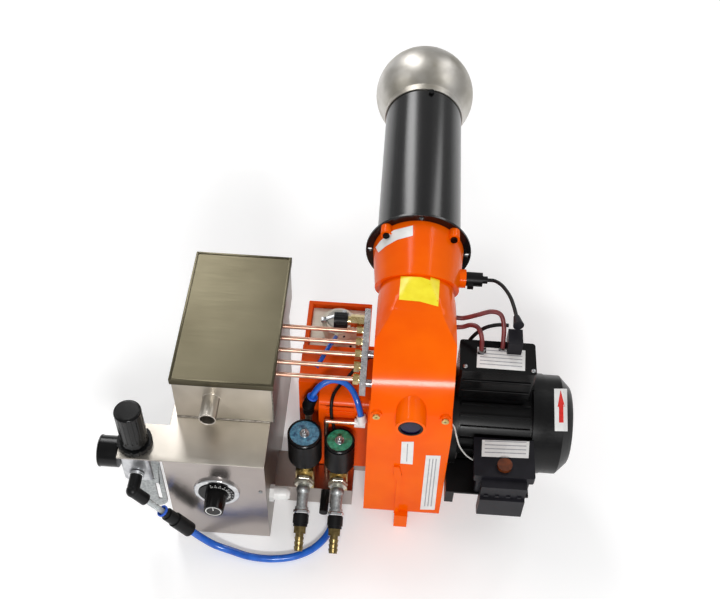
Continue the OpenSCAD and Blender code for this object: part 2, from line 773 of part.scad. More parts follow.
transformer_x0 = half_w + 8;
transformer_x1 = transformer_x0 + transformer_l;
transformer_y1 = fan_y + 32;
transformer_y0 = transformer_y1 - transformer_w;
transformer_z0 = fan_z + motor_r + fin_h + 11;
transformer_z1 = transformer_z0 + transformer_h;
unit_x0 = half_w + 35;
unit_x1 = unit_x0 + unit_l;
unit_y0 = front_y - 22;
unit_z0 = fan_z - 4;
unit_z1 = unit_z0 + unit_h;
button_x = unit_x0 + unit_l / 2;
button_y = unit_y0 + 16;

module ignition_transformer() color([0.07, 0.07, 0.07]) {
  difference() {
    translate([0, 0, transformer_z0]) linear_extrude(transformer_h)
      polygon(round_rect(transformer_x0, transformer_y0, transformer_x1, transformer_y1, 4, 4));
    // sockets of the two high-voltage leads
    for (p = [lead_long_route, lead_short_route]) {
      rod_z(transformer_z1 - 6, transformer_z1 + 1, 5, p[len(p) - 1][0], p[len(p) - 1][1]);
    }
  }
  // mounting foot
  for (x = [transformer_x0 - 6, transformer_x1 - 2]) {
    block([x, transformer_y0 + 18, transformer_z0], [x + 8, transformer_y0 + 32, transformer_z0 + 3]);
  }
}

module photocell() color([0.07, 0.07, 0.07]) {
  rod_x(collar_r - 10, collar_r + 5, 6 - slip, photocell_y, 0);
  rod_x(collar_r + 4, collar_r + 26, photocell_d / 2, photocell_y, 0);
  rod_x(collar_r + 26 - touch, 93, 5, photocell_y, 0);
  block([collar_r + 6, photocell_y - photocell_d / 2 - 6, -3], [collar_r + 14, photocell_y, 3]);
}

plug_x0 = button_x - plug_l / 2;
cable_plug = [photocell_cable_route[5][0], photocell_cable_route[5][1]];

module wiring_plugs() color([0.07, 0.07, 0.07]) {
  // plug on the control unit, with ribs along its top
  difference() {
    union() {
      side_slab([
        [unit_y0, unit_z1 - 6], [unit_y0 - plug_t + 4, unit_z1 - 7], [unit_y0 - plug_t + 4, unit_z1 - 30],
        [unit_y0 - plug_t, unit_z1 - 31], [unit_y0 - plug_t, unit_z1 + 2 - plug_h],
        [unit_y0 - plug_t + 5, unit_z1 - 4 - plug_h], [unit_y0, unit_z1 - 4 - plug_h]
      ], plug_x0, plug_x0 + plug_l);
      for (i = [0 : 3]) block(
        [plug_x0 + 5 + i * 14, unit_y0 - plug_t + 2.5, unit_z1 - 28], [plug_x0 + 10 + i * 14, unit_y0 - plug_t + 5, unit_z1 - 24]
      );
    }
  }
  // plug on the transformer, with its strain relief towards the cable
  end = photocell_cable_route[5];
  block([end[0] - 9, transformer_y1 - 20, transformer_z1], [end[0] + 9, transformer_y1 + 4, transformer_z1 + 22]);
  way = unit(end - photocell_cable_route[4]);
  aim(end + 0.2 * way, way) cylinder(h = 16, r1 = 4, r2 = 7);
}

module control_unit() color([0.09, 0.09, 0.1]) {
  difference() {
    union() {
      translate([0, 0, unit_z1 - unit_lid_h]) linear_extrude(unit_lid_h)
        polygon(round_rect(unit_x0, unit_y0, unit_x1, unit_y0 + unit_w, 3, 4));
      translate([0, 0, unit_z0]) linear_extrude(unit_h - 1)
        polygon(round_rect(unit_x0 + 4, unit_y0 + 2, unit_x1 - 5, unit_y0 + unit_w - 3, 3, 4));
    }
    rod_z(unit_z1 - 12, unit_z1 + 1, button_d / 2 + 0.3, button_x, button_y);
    rod_x(unit_x0 - 1, unit_x1 + 1, cowl_d / 2 + 2, fan_y, fan_z);
  }
}

module reset_button() color("SaddleBrown") {
  rod_z(unit_z1 - 12 + button_travel + 0.3, unit_z1 + button_travel + 1, button_d / 2, button_x, button_y);
}

// Control box and tank

module control_box() color("Silver") {
  difference() {
    block([box_x0, box_y0, floor_z], [box_x1, box_y0 + box_l, box_top]);
    block(
      [box_x0 + sheet_t, box_y0 + sheet_t, floor_z + sheet_t],
      [box_x1 - sheet_t, box_y0 + box_l - sheet_t, box_top - sheet_t]
    );
    rod_y(box_y0 - 1, box_y0 + sheet_t + 1, 15 + slip, dial_x, dial_z);
    rod_x(box_x1 - sheet_t - 1, box_x1 + 1, 8 + slip, gland_y, gland_z);
  }
  // shelf that carries the regulator
  difference() {
    block([box_x0 - shelf_w, box_y0, reg_top], [box_x0 + touch, box_y0 + shelf_l, box_top]);
    rod_z(reg_top - 1, box_top + 1, thread_d / 2 + slip, reg_x, reg_y);
  }
}

gland_y = box_y0 + 25;
gland_z = box_top - 104;

module thermostat() color("Gainsboro") {
  difference() {
    union() {
      translate([dial_x, box_y0, dial_z]) rotate([90, 0, 0]) rotate_extrude()
        polygon(concat([[dial_d / 2 + 1, 0], [bezel_d / 2, 0]], arc(bezel_d / 2 - 2, bezel_t - 2, 2, 0, 90, 4),
          [[dial_d / 2 + 1, bezel_t]]));
      rod_y(box_y0 - 1, box_y0, dial_d / 2 + 1 + touch, dial_x, dial_z);
      rod_y(box_y0 - touch, box_y0 + 6, 15, dial_x, dial_z);
      block([dial_x - 20, box_y0 + 6 - touch, dial_z - 22], [dial_x + 20, box_y0 + 34, dial_z + 22]);
    }
    rod_y(box_y0 - 2, box_y0 + 20, 3 + shaft_play, dial_x, dial_z);
  }
}

module thermostat_knob() color([0.06, 0.06, 0.06]) {
  rod_y(box_y0 - 5, box_y0 - 1.3, dial_d / 2, dial_x, dial_z);
  translate([dial_x, box_y0 - 5 + touch, dial_z]) rotate([90, 0, 0]) cylinder(h = grip_len, r1 = grip_d / 2 + 1, r2 = grip_d / 2 - 1);
  rod_y(box_y0 - 2, box_y0 + 18, 3, dial_x, dial_z);
}

module cable_gland() color("White") {
  difference() {
    union() {
      rod_x(box_x1 - sheet_t - 5, box_x1, 8, gland_y, gland_z);
      hex_x(box_x1, box_x1 + 6, 20, gland_y, gland_z);
      rod_x(box_x1 + 6 - touch, box_x1 + 22, 9, gland_y, gland_z);
      translate([box_x1 + 22 - touch, gland_y, gland_z]) rotate([0, 90, 0]) cylinder(h = 5, r1 = 9, r2 = 6);
    }
    rod_x(box_x1 - sheet_t - 6, box_x1 + 30, 3.5, gland_y, gland_z);
  }
}

module preheat_tank() color("Silver") {
  difference() {
    block([tank_x0, tank_y0, box_top], [tank_x1, tank_y1, tank_top]);
    block(
      [tank_x0 + sheet_t, tank_y0 + sheet_t, box_top + sheet_t],
      [tank_x1 - sheet_t, tank_y1 - sheet_t, tank_top + 1]
    );
    rod_y(tank_y0 - 1, tank_y0 + sheet_t + 1, stub_d / 2 - stub_wall, stub_x, stub_z);
    for (i = [0 : pipe_count - 1]) {
      rod_x(tank_x1 - sheet_t - 1, tank_x1 + 1, pipe_d / 2 + slip, pipe_y0 - i * pipe_pitch, pipe_z);
    }
    rod_y(tank_y1 - sheet_t - 1, tank_y1 + 1, 8 + slip, heater_x, heater_z);
  }
  difference() {
    rod_y(tank_y0 - stub_len, tank_y0 + touch, stub_d / 2, stub_x, stub_z);
    rod_y(tank_y0 - stub_len - 1, tank_y0 + 1, stub_d / 2 - stub_wall, stub_x, stub_z);
  }
}

heater_x = (tank_x0 + tank_x1) / 2;
heater_z = box_top + 22;

module tank_heater() color("Gray") {
  hex_y(tank_y1, tank_y1 + 8, 26, heater_x, heater_z);
  rod_y(tank_y1 - 12, tank_y1 + touch, 8, heater_x, heater_z);
  rod_y(tank_y0 + 40, tank_y1 - 12 + touch, heater_d / 2, heater_x, heater_z);
}

module tank_lid() color("Silver") {
  g = lid_play;
  difference() {
    block(
      [tank_x0 - g - sheet_t, tank_y0 - g - sheet_t, tank_top - lid_edge],
      [tank_x1 + g + sheet_t, tank_y1 + g + sheet_t, tank_top + sheet_t]
    );
    block([tank_x0 - g, tank_y0 - g, tank_top - lid_edge - 1], [tank_x1 + g, tank_y1 + g, tank_top]);
  }
}

// Air regulator

module regulator_body() color("Silver") {
  difference() {
    union() {
      translate([0, 0, reg_top - bracket_t - regulator_h]) linear_extrude(regulator_h) polygon(round_rect(
        reg_x - regulator_w / 2, reg_y - regulator_w / 2, reg_x + regulator_w / 2, reg_y + regulator_w / 2, 6, 4
      ));
      rod_z(reg_top - bracket_t - touch, box_top + ring_h + 2, thread_d / 2, reg_x, reg_y);
    }
    rod_y(reg_y - regulator_w / 2 - 1, reg_y - regulator_w / 2 + 8, 6 + slip, reg_x, port_z);
    rod_x(reg_x - regulator_w / 2 - 1, reg_x - regulator_w / 2 + 8, 5 + slip, reg_y, gauge_z);
    rod_z(box_top - 20, box_top + ring_h + 3, 5 + shaft_play, reg_x, reg_y);
  }
}

bracket_t = 2.5;
bracket_drop = 126; // reach of the bracket's plate below the shelf

module regulator_ring() color([0.08, 0.08, 0.08]) {
  difference() {
    rod_z(box_top, box_top + ring_h, ring_d / 2, reg_x, reg_y);
    rod_z(box_top - 1, box_top + ring_h + 1, thread_d / 2 + slip, reg_x, reg_y);
    for (a = [0 : 30 : 330]) translate([reg_x, reg_y, 0]) rotate([0, 0, a]) {
      rod_z(box_top - 1, box_top + ring_h + 1, 2.2, ring_d / 2 + 0.8, 0);
    }
  }
}

module regulator_bracket() color("DarkGray") {
  x0 = reg_x + regulator_w / 2 + 1;
  x1 = x0 + 11;
  y0 = reg_y - regulator_w / 2 + 3;
  low = reg_top - bracket_drop;
  under = reg_top - bracket_t - regulator_h - 2;
  difference() {
    union() {
      block([reg_x - 20, reg_y - 19, reg_top - bracket_t], [x1, reg_y + 19, reg_top]);
      translate([0, y0 + bracket_t, 0]) rotate([90, 0, 0]) linear_extrude(bracket_t) polygon(concat(
        [[x0, reg_top - 1], [x0, under], [reg_x - 10, under]],
        arc(reg_x + 2, low + 12, 12, 180, 270, 4), arc(x1 - 16, low + 16, 16, 270, 360, 6), [[x1, reg_top - 1]]
      ));
    }
    rod_z(reg_top - bracket_t - 1, reg_top + 1, thread_d / 2 + slip, reg_x, reg_y);
    for (z = [20, 56]) rod_y(y0 - 1, y0 + bracket_t + 1, 2.5, x1 - 9, low + z);
    block([x1 - 11.5, y0 - 1, low + 20], [x1 - 6.5, y0 + bracket_t + 1, low + 56]);
  }
}

gauge_x1 = reg_x - regulator_w / 2 - 4;

module gauge_case() color([0.08, 0.08, 0.08]) {
  difference() {
    union() {
      rod_x(gauge_x1 - gauge_t, gauge_x1, gauge_d / 2, reg_y, gauge_z);
      rod_x(gauge_x1 - touch, gauge_x1 + 4, 7, reg_y, gauge_z);
      rod_x(gauge_x1 + 4 - touch, gauge_x1 + 11, 5, reg_y, gauge_z);
    }
    rod_x(gauge_x1 - gauge_t - 1, gauge_x1 - gauge_t + 7, gauge_d / 2 - 2, reg_y, gauge_z);
    rod_x(gauge_x1 - gauge_t + 6, gauge_x1 - 6, 1 + shaft_play, reg_y, gauge_z);
  }
}

module gauge_needle() color("Red") {
  x = gauge_x1 - gauge_t + 4;
  rod_x(x, gauge_x1 - 8, 1, reg_y, gauge_z);
  rod_x(x, x + 1, 2.5, reg_y, gauge_z);
  translate([x, reg_y, gauge_z]) rotate([90, 0, 90]) linear_extrude(1)
    polygon([[-1.2, -5], [1.2, -5], [0.4, 14], [-0.4, 14]]);
}

module regulator_knob() color([0.06, 0.06, 0.06]) {
  z0 = box_top + ring_h + 2.3;
  r = regulator_knob_d / 2;
  difference() {
    translate([reg_x, reg_y, z0]) rotate_extrude() polygon(concat(
      [[0, 0], [r + 1, 0], [r, 6], [r, regulator_knob_h - 3]],
      arc(r - 3, regulator_knob_h - 3, 3, 0, 90, 4), [[0, regulator_knob_h]]
    ));
    for (a = [0 : 20 : 340]) translate([reg_x, reg_y, 0]) rotate([0, 0, a]) {
      rod_z(z0 + 10, z0 + regulator_knob_h + 1, 1, r + 0.5, 0, $fn = 16);
    }
  }
  rod_z(box_top - 16, z0 + 1, 5, reg_x, reg_y);
}

// Hose fittings

hose_dir = unit(hose_start - elbow_corner);
function along(d) = elbow_corner + d * hose_dir;

module push_elbow_leg(p, v, len) {
  aim(p, v) {
    cylinder(h = len, r = 8);
    sphere(r = 8.5);
  }
}

module push_elbows() color([0.06, 0.06, 0.06]) {
  // elbow in the regulator's outlet
  rod_y(elbow_corner[1], reg_y - regulator_w / 2, 8, reg_x, port_z);
  rod_y(reg_y - regulator_w / 2 - touch, reg_y - regulator_w / 2 + 7, 6, reg_x, port_z);
  push_elbow_leg(elbow_corner, hose_dir, 24);
  // elbow on the riser behind the larger coil
  push_elbow_leg(riser_top, riser_dir, 15);
  rod_z(riser_top[2] - 14, riser_top[2], 7.5, riser_top[0], riser_top[1]);
}

riser_dir = unit(nozzle_hose_route[1] - nozzle_hose_route[0]);
riser_top = nozzle_hose_route[0] - 15 * riser_dir;

module clear_tube() color("White", 0.5) {
  aim(along(24), hose_dir) difference() {
    cylinder(h = 35, r = clear_d / 2);
    translate([0, 0, -1]) cylinder(h = 37, r = clear_d / 2 - 1.2);
  }
}

module hose_reducer() color([0.06, 0.06, 0.06]) {
  end = norm(hose_start - elbow_corner);
  aim(along(59), hose_dir) {
    cylinder(h = 7, r = 7);
    translate([0, 0, 7 - touch]) cylinder(h = 16, r = 8.5);
    translate([0, 0, 23 - 2 * touch]) cylinder(h = end - 82 + 2 * touch, r = 10);
  }
}

module air_hose() color("DodgerBlue") hose(air_hose_route, hose_d, 2);

// Oil lines

module copper_pipes() color("Peru") {
  for (i = [0 : pipe_count - 1]) {
    rod_x(tank_x1 - 6, bar_x0 - nut_len + 5, pipe_d / 2, pipe_y0 - i * pipe_pitch, pipe_z);
  }
  // pilot line from the white elbow down to the channel
  rod_x(pilot_x, white_x - 8, pipe_d / 2, pilot_y, pilot_z);
  translate([pilot_x, pilot_y, pilot_z]) sphere(r = pipe_d / 2);
  rod_z(channel_top, pilot_z, pipe_d / 2, pilot_x, pilot_y);
}

white_x = -half_w - 12;
pilot_x = -107;
pilot_y = -212;
pilot_z = -110;

module brass_fittings() color("Goldenrod") {
  for (i = [0 : pipe_count - 1]) difference() {
    union() {
      hex_x(bar_x0 - nut_len, bar_x0 - 2, nut_af, pipe_y0 - i * pipe_pitch, pipe_z);
      rod_x(bar_x0 - 2 - touch, bar_x0, nut_af / 2 - 0.5, pipe_y0 - i * pipe_pitch, pipe_z);
    }
    rod_x(bar_x0 - nut_len - 1, bar_x0 - 3, pipe_d / 2 + slip, pipe_y0 - i * pipe_pitch, pipe_z);
  }
  // body of the metering valve
  difference() {
    union() {
      hex_x(bar_x0 - 18, bar_x0, 15, metering_y, pipe_z);
      rod_x(bar_x0 - 22, bar_x0 - 18 + touch, 6, metering_y, pipe_z);
    }
    rod_x(bar_x0 - 23, bar_x0 - 6, 3 + shaft_play, metering_y, pipe_z);
  }
}

metering_y = pipe_y0 + 17;

module metering_knob() color([0.08, 0.08, 0.08]) {
  x1 = bar_x0 - 22.3;
  difference() {
    rod_x(x1 - 18, x1, metering_d / 2, metering_y, pipe_z);
    for (a = [0 : 18 : 342]) translate([0, metering_y, pipe_z]) rotate([a, 0, 0]) {
      rod_x(x1 - 15, x1 - 2, 0.9, metering_d / 2 + 0.3, 0, $fn = 16);
    }
  }
  rod_x(x1 - touch, bar_x0 - 8, 3, metering_y, pipe_z);
}

module manifold_bar() color("Silver") {
  bar_y0 = pipe_y0 - (pipe_count - 1) * pipe_pitch - 16;
  block([bar_x0, bar_y0, pipe_z - bar_h / 2], [bar_x1, metering_y + 12, pipe_z + bar_h / 2]);
  for (y = [-150, -196]) rod_x(bar_x1 - touch, -half_w, 5, y, pipe_z);
}

// Air intake, with the pressure switch in a tray behind it

intake_top = -82;
intake_bottom = fan_z - 91;
intake_y0 = fan_y - 31;
intake_y1 = fan_y + 62;
tray_x0 = -147;
tray_z = -104;

module intake_box() color("OrangeRed") {
  outer = [
    [tray_x0, intake_y1], [tray_x0, fan_y], [-122, fan_y], [-118, fan_y - 4], [-118, intake_y0],
    [-half_w - 0, intake_y0], [-half_w - 0, intake_y1]
  ];
  difference() {
    intersection() {
      plan_slab(outer, intake_bottom, intake_top);
      side_slab(concat(
        [[intake_y1, intake_top], [intake_y1, intake_bottom]],
        [[intake_y0, intake_bottom]],
        arc(intake_y0 + 16, intake_top - 16, 16, 180, 90, 8)
      ), tray_x0 - 1, 0);
    }
    // air chamber, open downwards
    block([-116, intake_y0 + 2, intake_bottom - 1], [-half_w - 2, intake_y1 - 2, intake_top - 8]);
    block([tray_x0 + 2, fan_y + 2, intake_bottom - 1], [-half_w - 2, intake_y1 - 2, intake_top - 8]);
    rod_x(-half_w - 3, -half_w + 1, eye_d / 2 - 4, fan_y, fan_z);
    // bearing holes of the damper
    rod_y(intake_y0 - 1, intake_y0 + 3, 3 + shaft_play, damper_x, damper_z);
    rod_y(intake_y1 - 3, intake_y1 + 1, 3 + shaft_play, damper_x, damper_z);
  }
  // ribs on the front
  for (i = [0 : 3]) block([-108, intake_y0 - 1.5, -92 - 8 * i], [-72, intake_y0 + touch, -89 - 8 * i]);
}

damper_x = -84;
damper_z = fan_z - 70;

module air_damper() color("Silver") {
  rod_y(intake_y0 - 5, intake_y1 - 0.3, 3, damper_x, damper_z);
  block([damper_x - 1, intake_y0 + 4, damper_z - 20], [damper_x + 1, intake_y1 - 4, damper_z + 28]);
  block([damper_x - 1.5, intake_y0 - 5, damper_z - 14], [damper_x + 1.5, intake_y0 - 2.5, damper_z]);
}

module switch_tray() color("OrangeRed") {
  y0 = intake_y1 + 0.0;
  difference() {
    block([tray_x0, y0, tray_z], [-half_w - 8, -24, tray_z + 12]);
    block([tray_x0 + 6, y0 + 2, tray_z + 2], [-half_w - 10, -30, tray_z + 13]);
  }
  block([-half_w - 8 - touch, y0, tray_z], [-half_w, y0 + 12, tray_z + 12]);
}

module pressure_switch() color("Linen") {
  block([tray_x0 + 7, intake_y1 + 3, tray_z + 2], [-half_w - 11, -31, tray_z + 5]);
  rod_z(tray_z + 5 - touch, tray_z + 22, 23, -102, -66);
  rod_z(tray_z + 22 - touch, tray_z + 26, 19, -102, -66);
  // hose spigot
  aim(switch_hose_route[0], switch_hose_route[0] - switch_hose_route[1]) cylinder(h = 17, r = 3.5);
}

// Valves

module valve_channel() color("Silver") {
  x0 = box_x1;
  difference() {
    block([x0, channel_y0, floor_z], [channel_x1, channel_y0 + channel_l, channel_top]);
    block([x0 - 1, channel_y0 + 2, floor_z + 2], [channel_x1 + 1, channel_y0 + channel_l + 1, channel_top - 2]);
  }
  // link to the fan housing's side
  block([channel_x1 - touch, channel_y0 + channel_l - 12, channel_top - 20], [-half_w, channel_y0 + channel_l, channel_top]);
}

module valve_body(p, coil_bottom) {
  block([p[0] - 12, p[1] - 13, channel_top], [p[0] + 12, p[1] + 13, valve_z + 14]);
  rod_z(valve_z + 14 - touch, coil_bottom, 9, p[0], p[1]);
  rod_y(p[1] - 18, p[1] - 13 + touch, 11, p[0], valve_z);
}

module valve_bodies() color("Goldenrod") {
  valve_body(valve_a, coil_a_top - coil_h);
  valve_body(valve_b, coil_b_top - coil_h);
}

module coil(p, top, d) {
  rod_z(top - coil_h, top - 2, d / 2, p[0], p[1]);
  rod_z(top - 2 - touch, top, d / 2 - 1.5, p[0], p[1]);
}

module valve_coils() color([0.07, 0.07, 0.07]) {
  coil(valve_a, coil_a_top, coil_a_d);
  coil(valve_b, coil_b_top, coil_b_d);
}

outlet_dir = [0, -cos(droop), -sin(droop)];
leg_len = 29;

module outlet_elbows() color("Gray") {
  for (p = [valve_a, valve_b]) {
    rod_y(bend_y, p[1] - 18, outlet_d / 2, p[0], valve_z);
    hex_y(p[1] - 26, p[1] - 18, 22, p[0], valve_z);
    translate([p[0], bend_y, valve_z]) sphere(r = outlet_d / 2 + 1.5);
    aim([p[0], bend_y, valve_z], outlet_dir) {
      cylinder(h = leg_len, r = outlet_d / 2);
      translate([0, 0, leg_len - 6]) cylinder(h = 6, r = outlet_d / 2 + 1.5);
    }
  }
  // riser from the larger valve to the black elbow
  rod_z(channel_top, riser_top[2] - 14, 5, riser_top[0], riser_top[1]);
}

module hose_unions() color([0.06, 0.06, 0.06]) {
  for (p = [valve_a, valve_b]) aim([p[0], bend_y, valve_z] + leg_len * outlet_dir, outlet_dir) {
    cylinder(h = union_len, r = union_d / 2 - 1);
    translate([0, 0, 4]) cylinder(h = union_len - 8, r = union_d / 2);
  }
  // return stub and air inlet socket on the channel's front
  rod_y(channel_y0 - 30, channel_y0, 6, -106, channel_top - 12);
  rod_y(channel_y0 - 12, channel_y0, 8, air_hose_route[10][0], air_hose_route[10][2]);
}

module brass_nipples() color("Goldenrod") {
  for (p = [valve_a, valve_b]) {
    aim([p[0], bend_y, valve_z] + (leg_len + union_len) * outlet_dir, outlet_dir) difference() {
      union() {
        cylinder(h = 9, r = 9, $fn = 6);
        cylinder(h = nipple_len, r = nipple_d / 2);
        for (i = [0 : 2]) translate([0, 0, nipple_len - 18 + 6 * i])
          cylinder(h = 5, r1 = nipple_d / 2 + 1, r2 = nipple_d / 2);
      }
      translate([0, 0, 2]) cylinder(h = nipple_len, r = nipple_d / 2 - 2);
    }
  }
}

module white_elbow() color("White") {
  last = nozzle_hose_route[len(nozzle_hose_route) - 1];
  before = nozzle_hose_route[len(nozzle_hose_route) - 2];
  aim(last, last - before) cylinder(h = 10, r = 6);
  rod_x(white_x - 8, white_x + 6, 6, pilot_y, pilot_z);
}

module nozzle_hose() color("RoyalBlue") hose(nozzle_hose_route, short_hose_d, 1);
module switch_hose() color("RoyalBlue") hose(switch_hose_route, 6, 1, 8);
module photocell_cable() color([0.05, 0.05, 0.05]) hose(photocell_cable_route, cable_d, 1, 8);
module ht_lead_long() color("Brown") hose(lead_long_route, lead_d, 1, 8);
module ht_lead_short() color("Brown") hose(lead_short_route, lead_d, 1, 8);

volute_housing();
housing_neck();
front_cover();
mounting_flange();
blast_tube();
flame_head();
screws();
sight_glass();
oil_lance();
spray_nozzle();
diffuser_disc();
electrodes();
motor_body();
motor_flange();
fan_cowl();
ignition_transformer();
ht_lead_long();
ht_lead_short();
photocell();
photocell_cable();
wiring_plugs();
control_unit();
control_box();
thermostat();
cable_gland();
preheat_tank();
tank_heater();
regulator_body();
regulator_ring();
regulator_bracket();
gauge_case();
push_elbows();
clear_tube();
hose_reducer();
air_hose();
copper_pipes();
brass_fittings();
manifold_bar();
pressure_switch();
intake_box();
switch_tray();
valve_channel();
valve_bodies();
valve_coils();
outlet_elbows();
hose_unions();
brass_nipples();
white_elbow();
nozzle_hose();
switch_hose();
impeller();
motor_rotor();
cooling_fan();
thermostat_knob();
regulator_knob();
gauge_needle();
metering_knob();
air_damper();
reset_button();
tank_lid();
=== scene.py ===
"""Looks of a waste oil burner: orange fan housing, black blast tube with a steel head, motor and
controls on the right, steel control box with oil tank, regulator, valves and hoses on the left."""

import math

import bmesh
import bpy
from mathutils import Matrix, Vector
from mathutils.bvhtree import BVHTree

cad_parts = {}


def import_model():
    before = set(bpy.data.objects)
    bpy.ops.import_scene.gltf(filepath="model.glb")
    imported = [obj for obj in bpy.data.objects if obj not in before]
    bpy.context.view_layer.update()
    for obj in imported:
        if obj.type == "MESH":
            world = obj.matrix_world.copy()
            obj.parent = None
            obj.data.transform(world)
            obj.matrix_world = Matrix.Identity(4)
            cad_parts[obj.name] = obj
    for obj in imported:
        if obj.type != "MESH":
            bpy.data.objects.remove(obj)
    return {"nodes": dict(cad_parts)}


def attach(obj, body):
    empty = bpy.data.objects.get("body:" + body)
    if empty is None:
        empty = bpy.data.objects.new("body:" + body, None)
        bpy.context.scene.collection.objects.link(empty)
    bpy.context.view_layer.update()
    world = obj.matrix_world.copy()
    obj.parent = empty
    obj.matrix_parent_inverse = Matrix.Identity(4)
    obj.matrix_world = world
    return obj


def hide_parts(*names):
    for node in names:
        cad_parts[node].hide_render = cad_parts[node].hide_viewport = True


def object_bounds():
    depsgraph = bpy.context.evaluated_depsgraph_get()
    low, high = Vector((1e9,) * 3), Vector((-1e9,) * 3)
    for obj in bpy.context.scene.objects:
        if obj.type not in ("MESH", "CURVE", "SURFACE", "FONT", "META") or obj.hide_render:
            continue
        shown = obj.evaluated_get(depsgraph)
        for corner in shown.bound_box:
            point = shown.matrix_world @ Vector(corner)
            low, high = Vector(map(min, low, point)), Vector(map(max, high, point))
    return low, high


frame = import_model()
cad_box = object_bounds()
nodes = frame["nodes"]
MM = 0.001

# Camera at the photograph's place, above and in front of the burner

PITCH = math.radians(49.84)
YAW = math.radians(-2.15)
ROLL = math.radians(2.09)
EYE = Vector((-0.0402, -0.9714, 1.0407))
PHOTO_WIDTH_PX = 720
PHOTO_HEIGHT_PX = 599
FOCAL_PX = 1047.8
SENSOR_MM = 36.0


def camera_axes():
    """The camera's right, up and forward, from its three angles."""
    forward = Vector(
        (math.sin(YAW) * math.cos(PITCH), math.cos(YAW) * math.cos(PITCH), -math.sin(PITCH))
    )
    level = forward.cross(Vector((0, 0, 1))).normalized()
    upright = level.cross(forward)
    right = math.cos(ROLL) * level + math.sin(ROLL) * upright
    up = math.cos(ROLL) * upright - math.sin(ROLL) * level
    return right, up, forward


def photo_camera():
    """The camera that sees what the photograph shows."""
    right, up, forward = camera_axes()
    data = bpy.data.cameras.new("camera")
    data.sensor_width = SENSOR_MM
    data.lens = SENSOR_MM * FOCAL_PX / PHOTO_WIDTH_PX
    data.clip_start = 0.05
    camera = bpy.data.objects.new("camera", data)
    bpy.context.scene.collection.objects.link(camera)
    turn = Matrix((right, up, -forward)).transposed().to_4x4()
    camera.matrix_world = Matrix.Translation(EYE) @ turn
    bpy.context.scene.camera = camera


photo_camera()

# Node trees


def hex_colour(text):
    """An sRGB hex colour as linear light."""
    channels = []
    for start in (1, 3, 5):
        value = int(text[start : start + 2], 16) / 255
        channels.append(value / 12.92 if value <= 0.04045 else ((value + 0.055) / 1.055) ** 2.4)
    return (*channels, 1.0)


def add(tree, kind, inputs=None, **settings):
    """One node, with its settings, and its inputs as values or as links."""
    node = tree.nodes.new(kind)
    for name, value in settings.items():
        setattr(node, name, value)
    for key, value in (inputs or {}).items():
        if isinstance(value, bpy.types.NodeSocket):
            tree.links.new(value, node.inputs[key])
        else:
            node.inputs[key].default_value = value
    return node


# Noise values between which a finish runs from one tone, or one gloss, to the other
TONE_SPAN = (0.32, 0.68)
GLOSS_SPAN = (0.25, 0.75)

# Scales of a grain along the three axes: the smaller, the longer it is drawn out that way
EVERY_WAY = (1.0, 1.0, 1.0)
UPRIGHT = (1.0, 1.0, 0.03)
WIDTHWAYS = (0.03, 1.0, 1.0)
DRAWN = (0.05, 1.0, 1.0)
SPUN = (0.1, 1.0, 0.1)


def finish(
    name, low, high, roughness, patch_mm, grain_mm, depth_mm,
    along=EVERY_WAY, spread=0.07, sockets=None, wave_mm=0.0,
):
    """A finish whose tone drifts between two colours every patch_mm, and whose gloss and relief
    follow a grain of grain_mm, drawn out along the axes where along is small; wave_mm dents the patches."""
    material = bpy.data.materials.new(name)
    material.use_nodes = True
    tree = material.node_tree
    shader = tree.nodes["Principled BSDF"]
    for socket, value in (sockets or {}).items():
        shader.inputs[socket].default_value = value
    place = add(tree, "ShaderNodeTexCoord").outputs["Object"]
    noises = []
    for stretch, size_mm in ((EVERY_WAY, patch_mm), (along, grain_mm)):
        scaled = add(tree, "ShaderNodeMapping", {"Vector": place, "Scale": tuple(a / MM for a in stretch)})
        inputs = {"Vector": scaled.outputs["Vector"], "Scale": 1.0 / size_mm, "Detail": 3.0}
        noises.append(add(tree, "ShaderNodeTexNoise", inputs).outputs["Fac"])
    patches, grain = noises
    share = add(
        tree, "ShaderNodeMapRange", {"Value": patches, "From Min": TONE_SPAN[0], "From Max": TONE_SPAN[1]}
    )
    tone = add(
        tree,
        "ShaderNodeMix",
        {"Factor": share.outputs["Result"], "A": hex_colour(low), "B": hex_colour(high)},
        data_type="RGBA",
    )
    tree.links.new(tone.outputs["Result"], shader.inputs["Base Color"])
    gloss = add(
        tree,
        "ShaderNodeMapRange",
        {
            "Value": grain, "From Min": GLOSS_SPAN[0], "From Max": GLOSS_SPAN[1],
            "To Min": roughness - spread, "To Max": roughness + spread,
        },
    )
    tree.links.new(gloss.outputs["Result"], shader.inputs["Roughness"])
    relief = {"Height": grain, "Distance": depth_mm * MM, "Strength": 0.5}
    if wave_mm:
        dents = add(tree, "ShaderNodeBump", {"Height": patches, "Distance": wave_mm * MM, "Strength": 1.0})
        relief["Normal"] = dents.outputs["Normal"]
    bump = add(tree, "ShaderNodeBump", relief)
    tree.links.new(bump.outputs["Normal"], shader.inputs["Normal"])
    return material


# Settings that several finishes share
METAL = {"Metallic": 1.0}
DULL = {"Specular IOR Level": 0.22}
GLOSSY = {"Specular IOR Level": 0.25}

# Materials

# Orange enamel sprayed on a sand casting: deep gloss over faint waves a few centimetres wide
ENAMEL = finish(
    "orange_enamel_on_casting", "#EE5600", "#F86600", 0.24, 80.0, 30.0, 0.03, spread=0.02,
    sockets={"Coat Weight": 0.2, "Coat Roughness": 0.12, "Specular IOR Level": 0.02},
)
# The same enamel on folded sheet, redder and flatter
ENAMEL_SHEET = finish(
    "orange_enamel_on_sheet", "#E84C02", "#F45A04", 0.3, 60.0, 30.0, 0.04, spread=0.02,
    sockets={"Coat Weight": 0.08, "Coat Roughness": 0.14, "Specular IOR Level": 0.06},
)
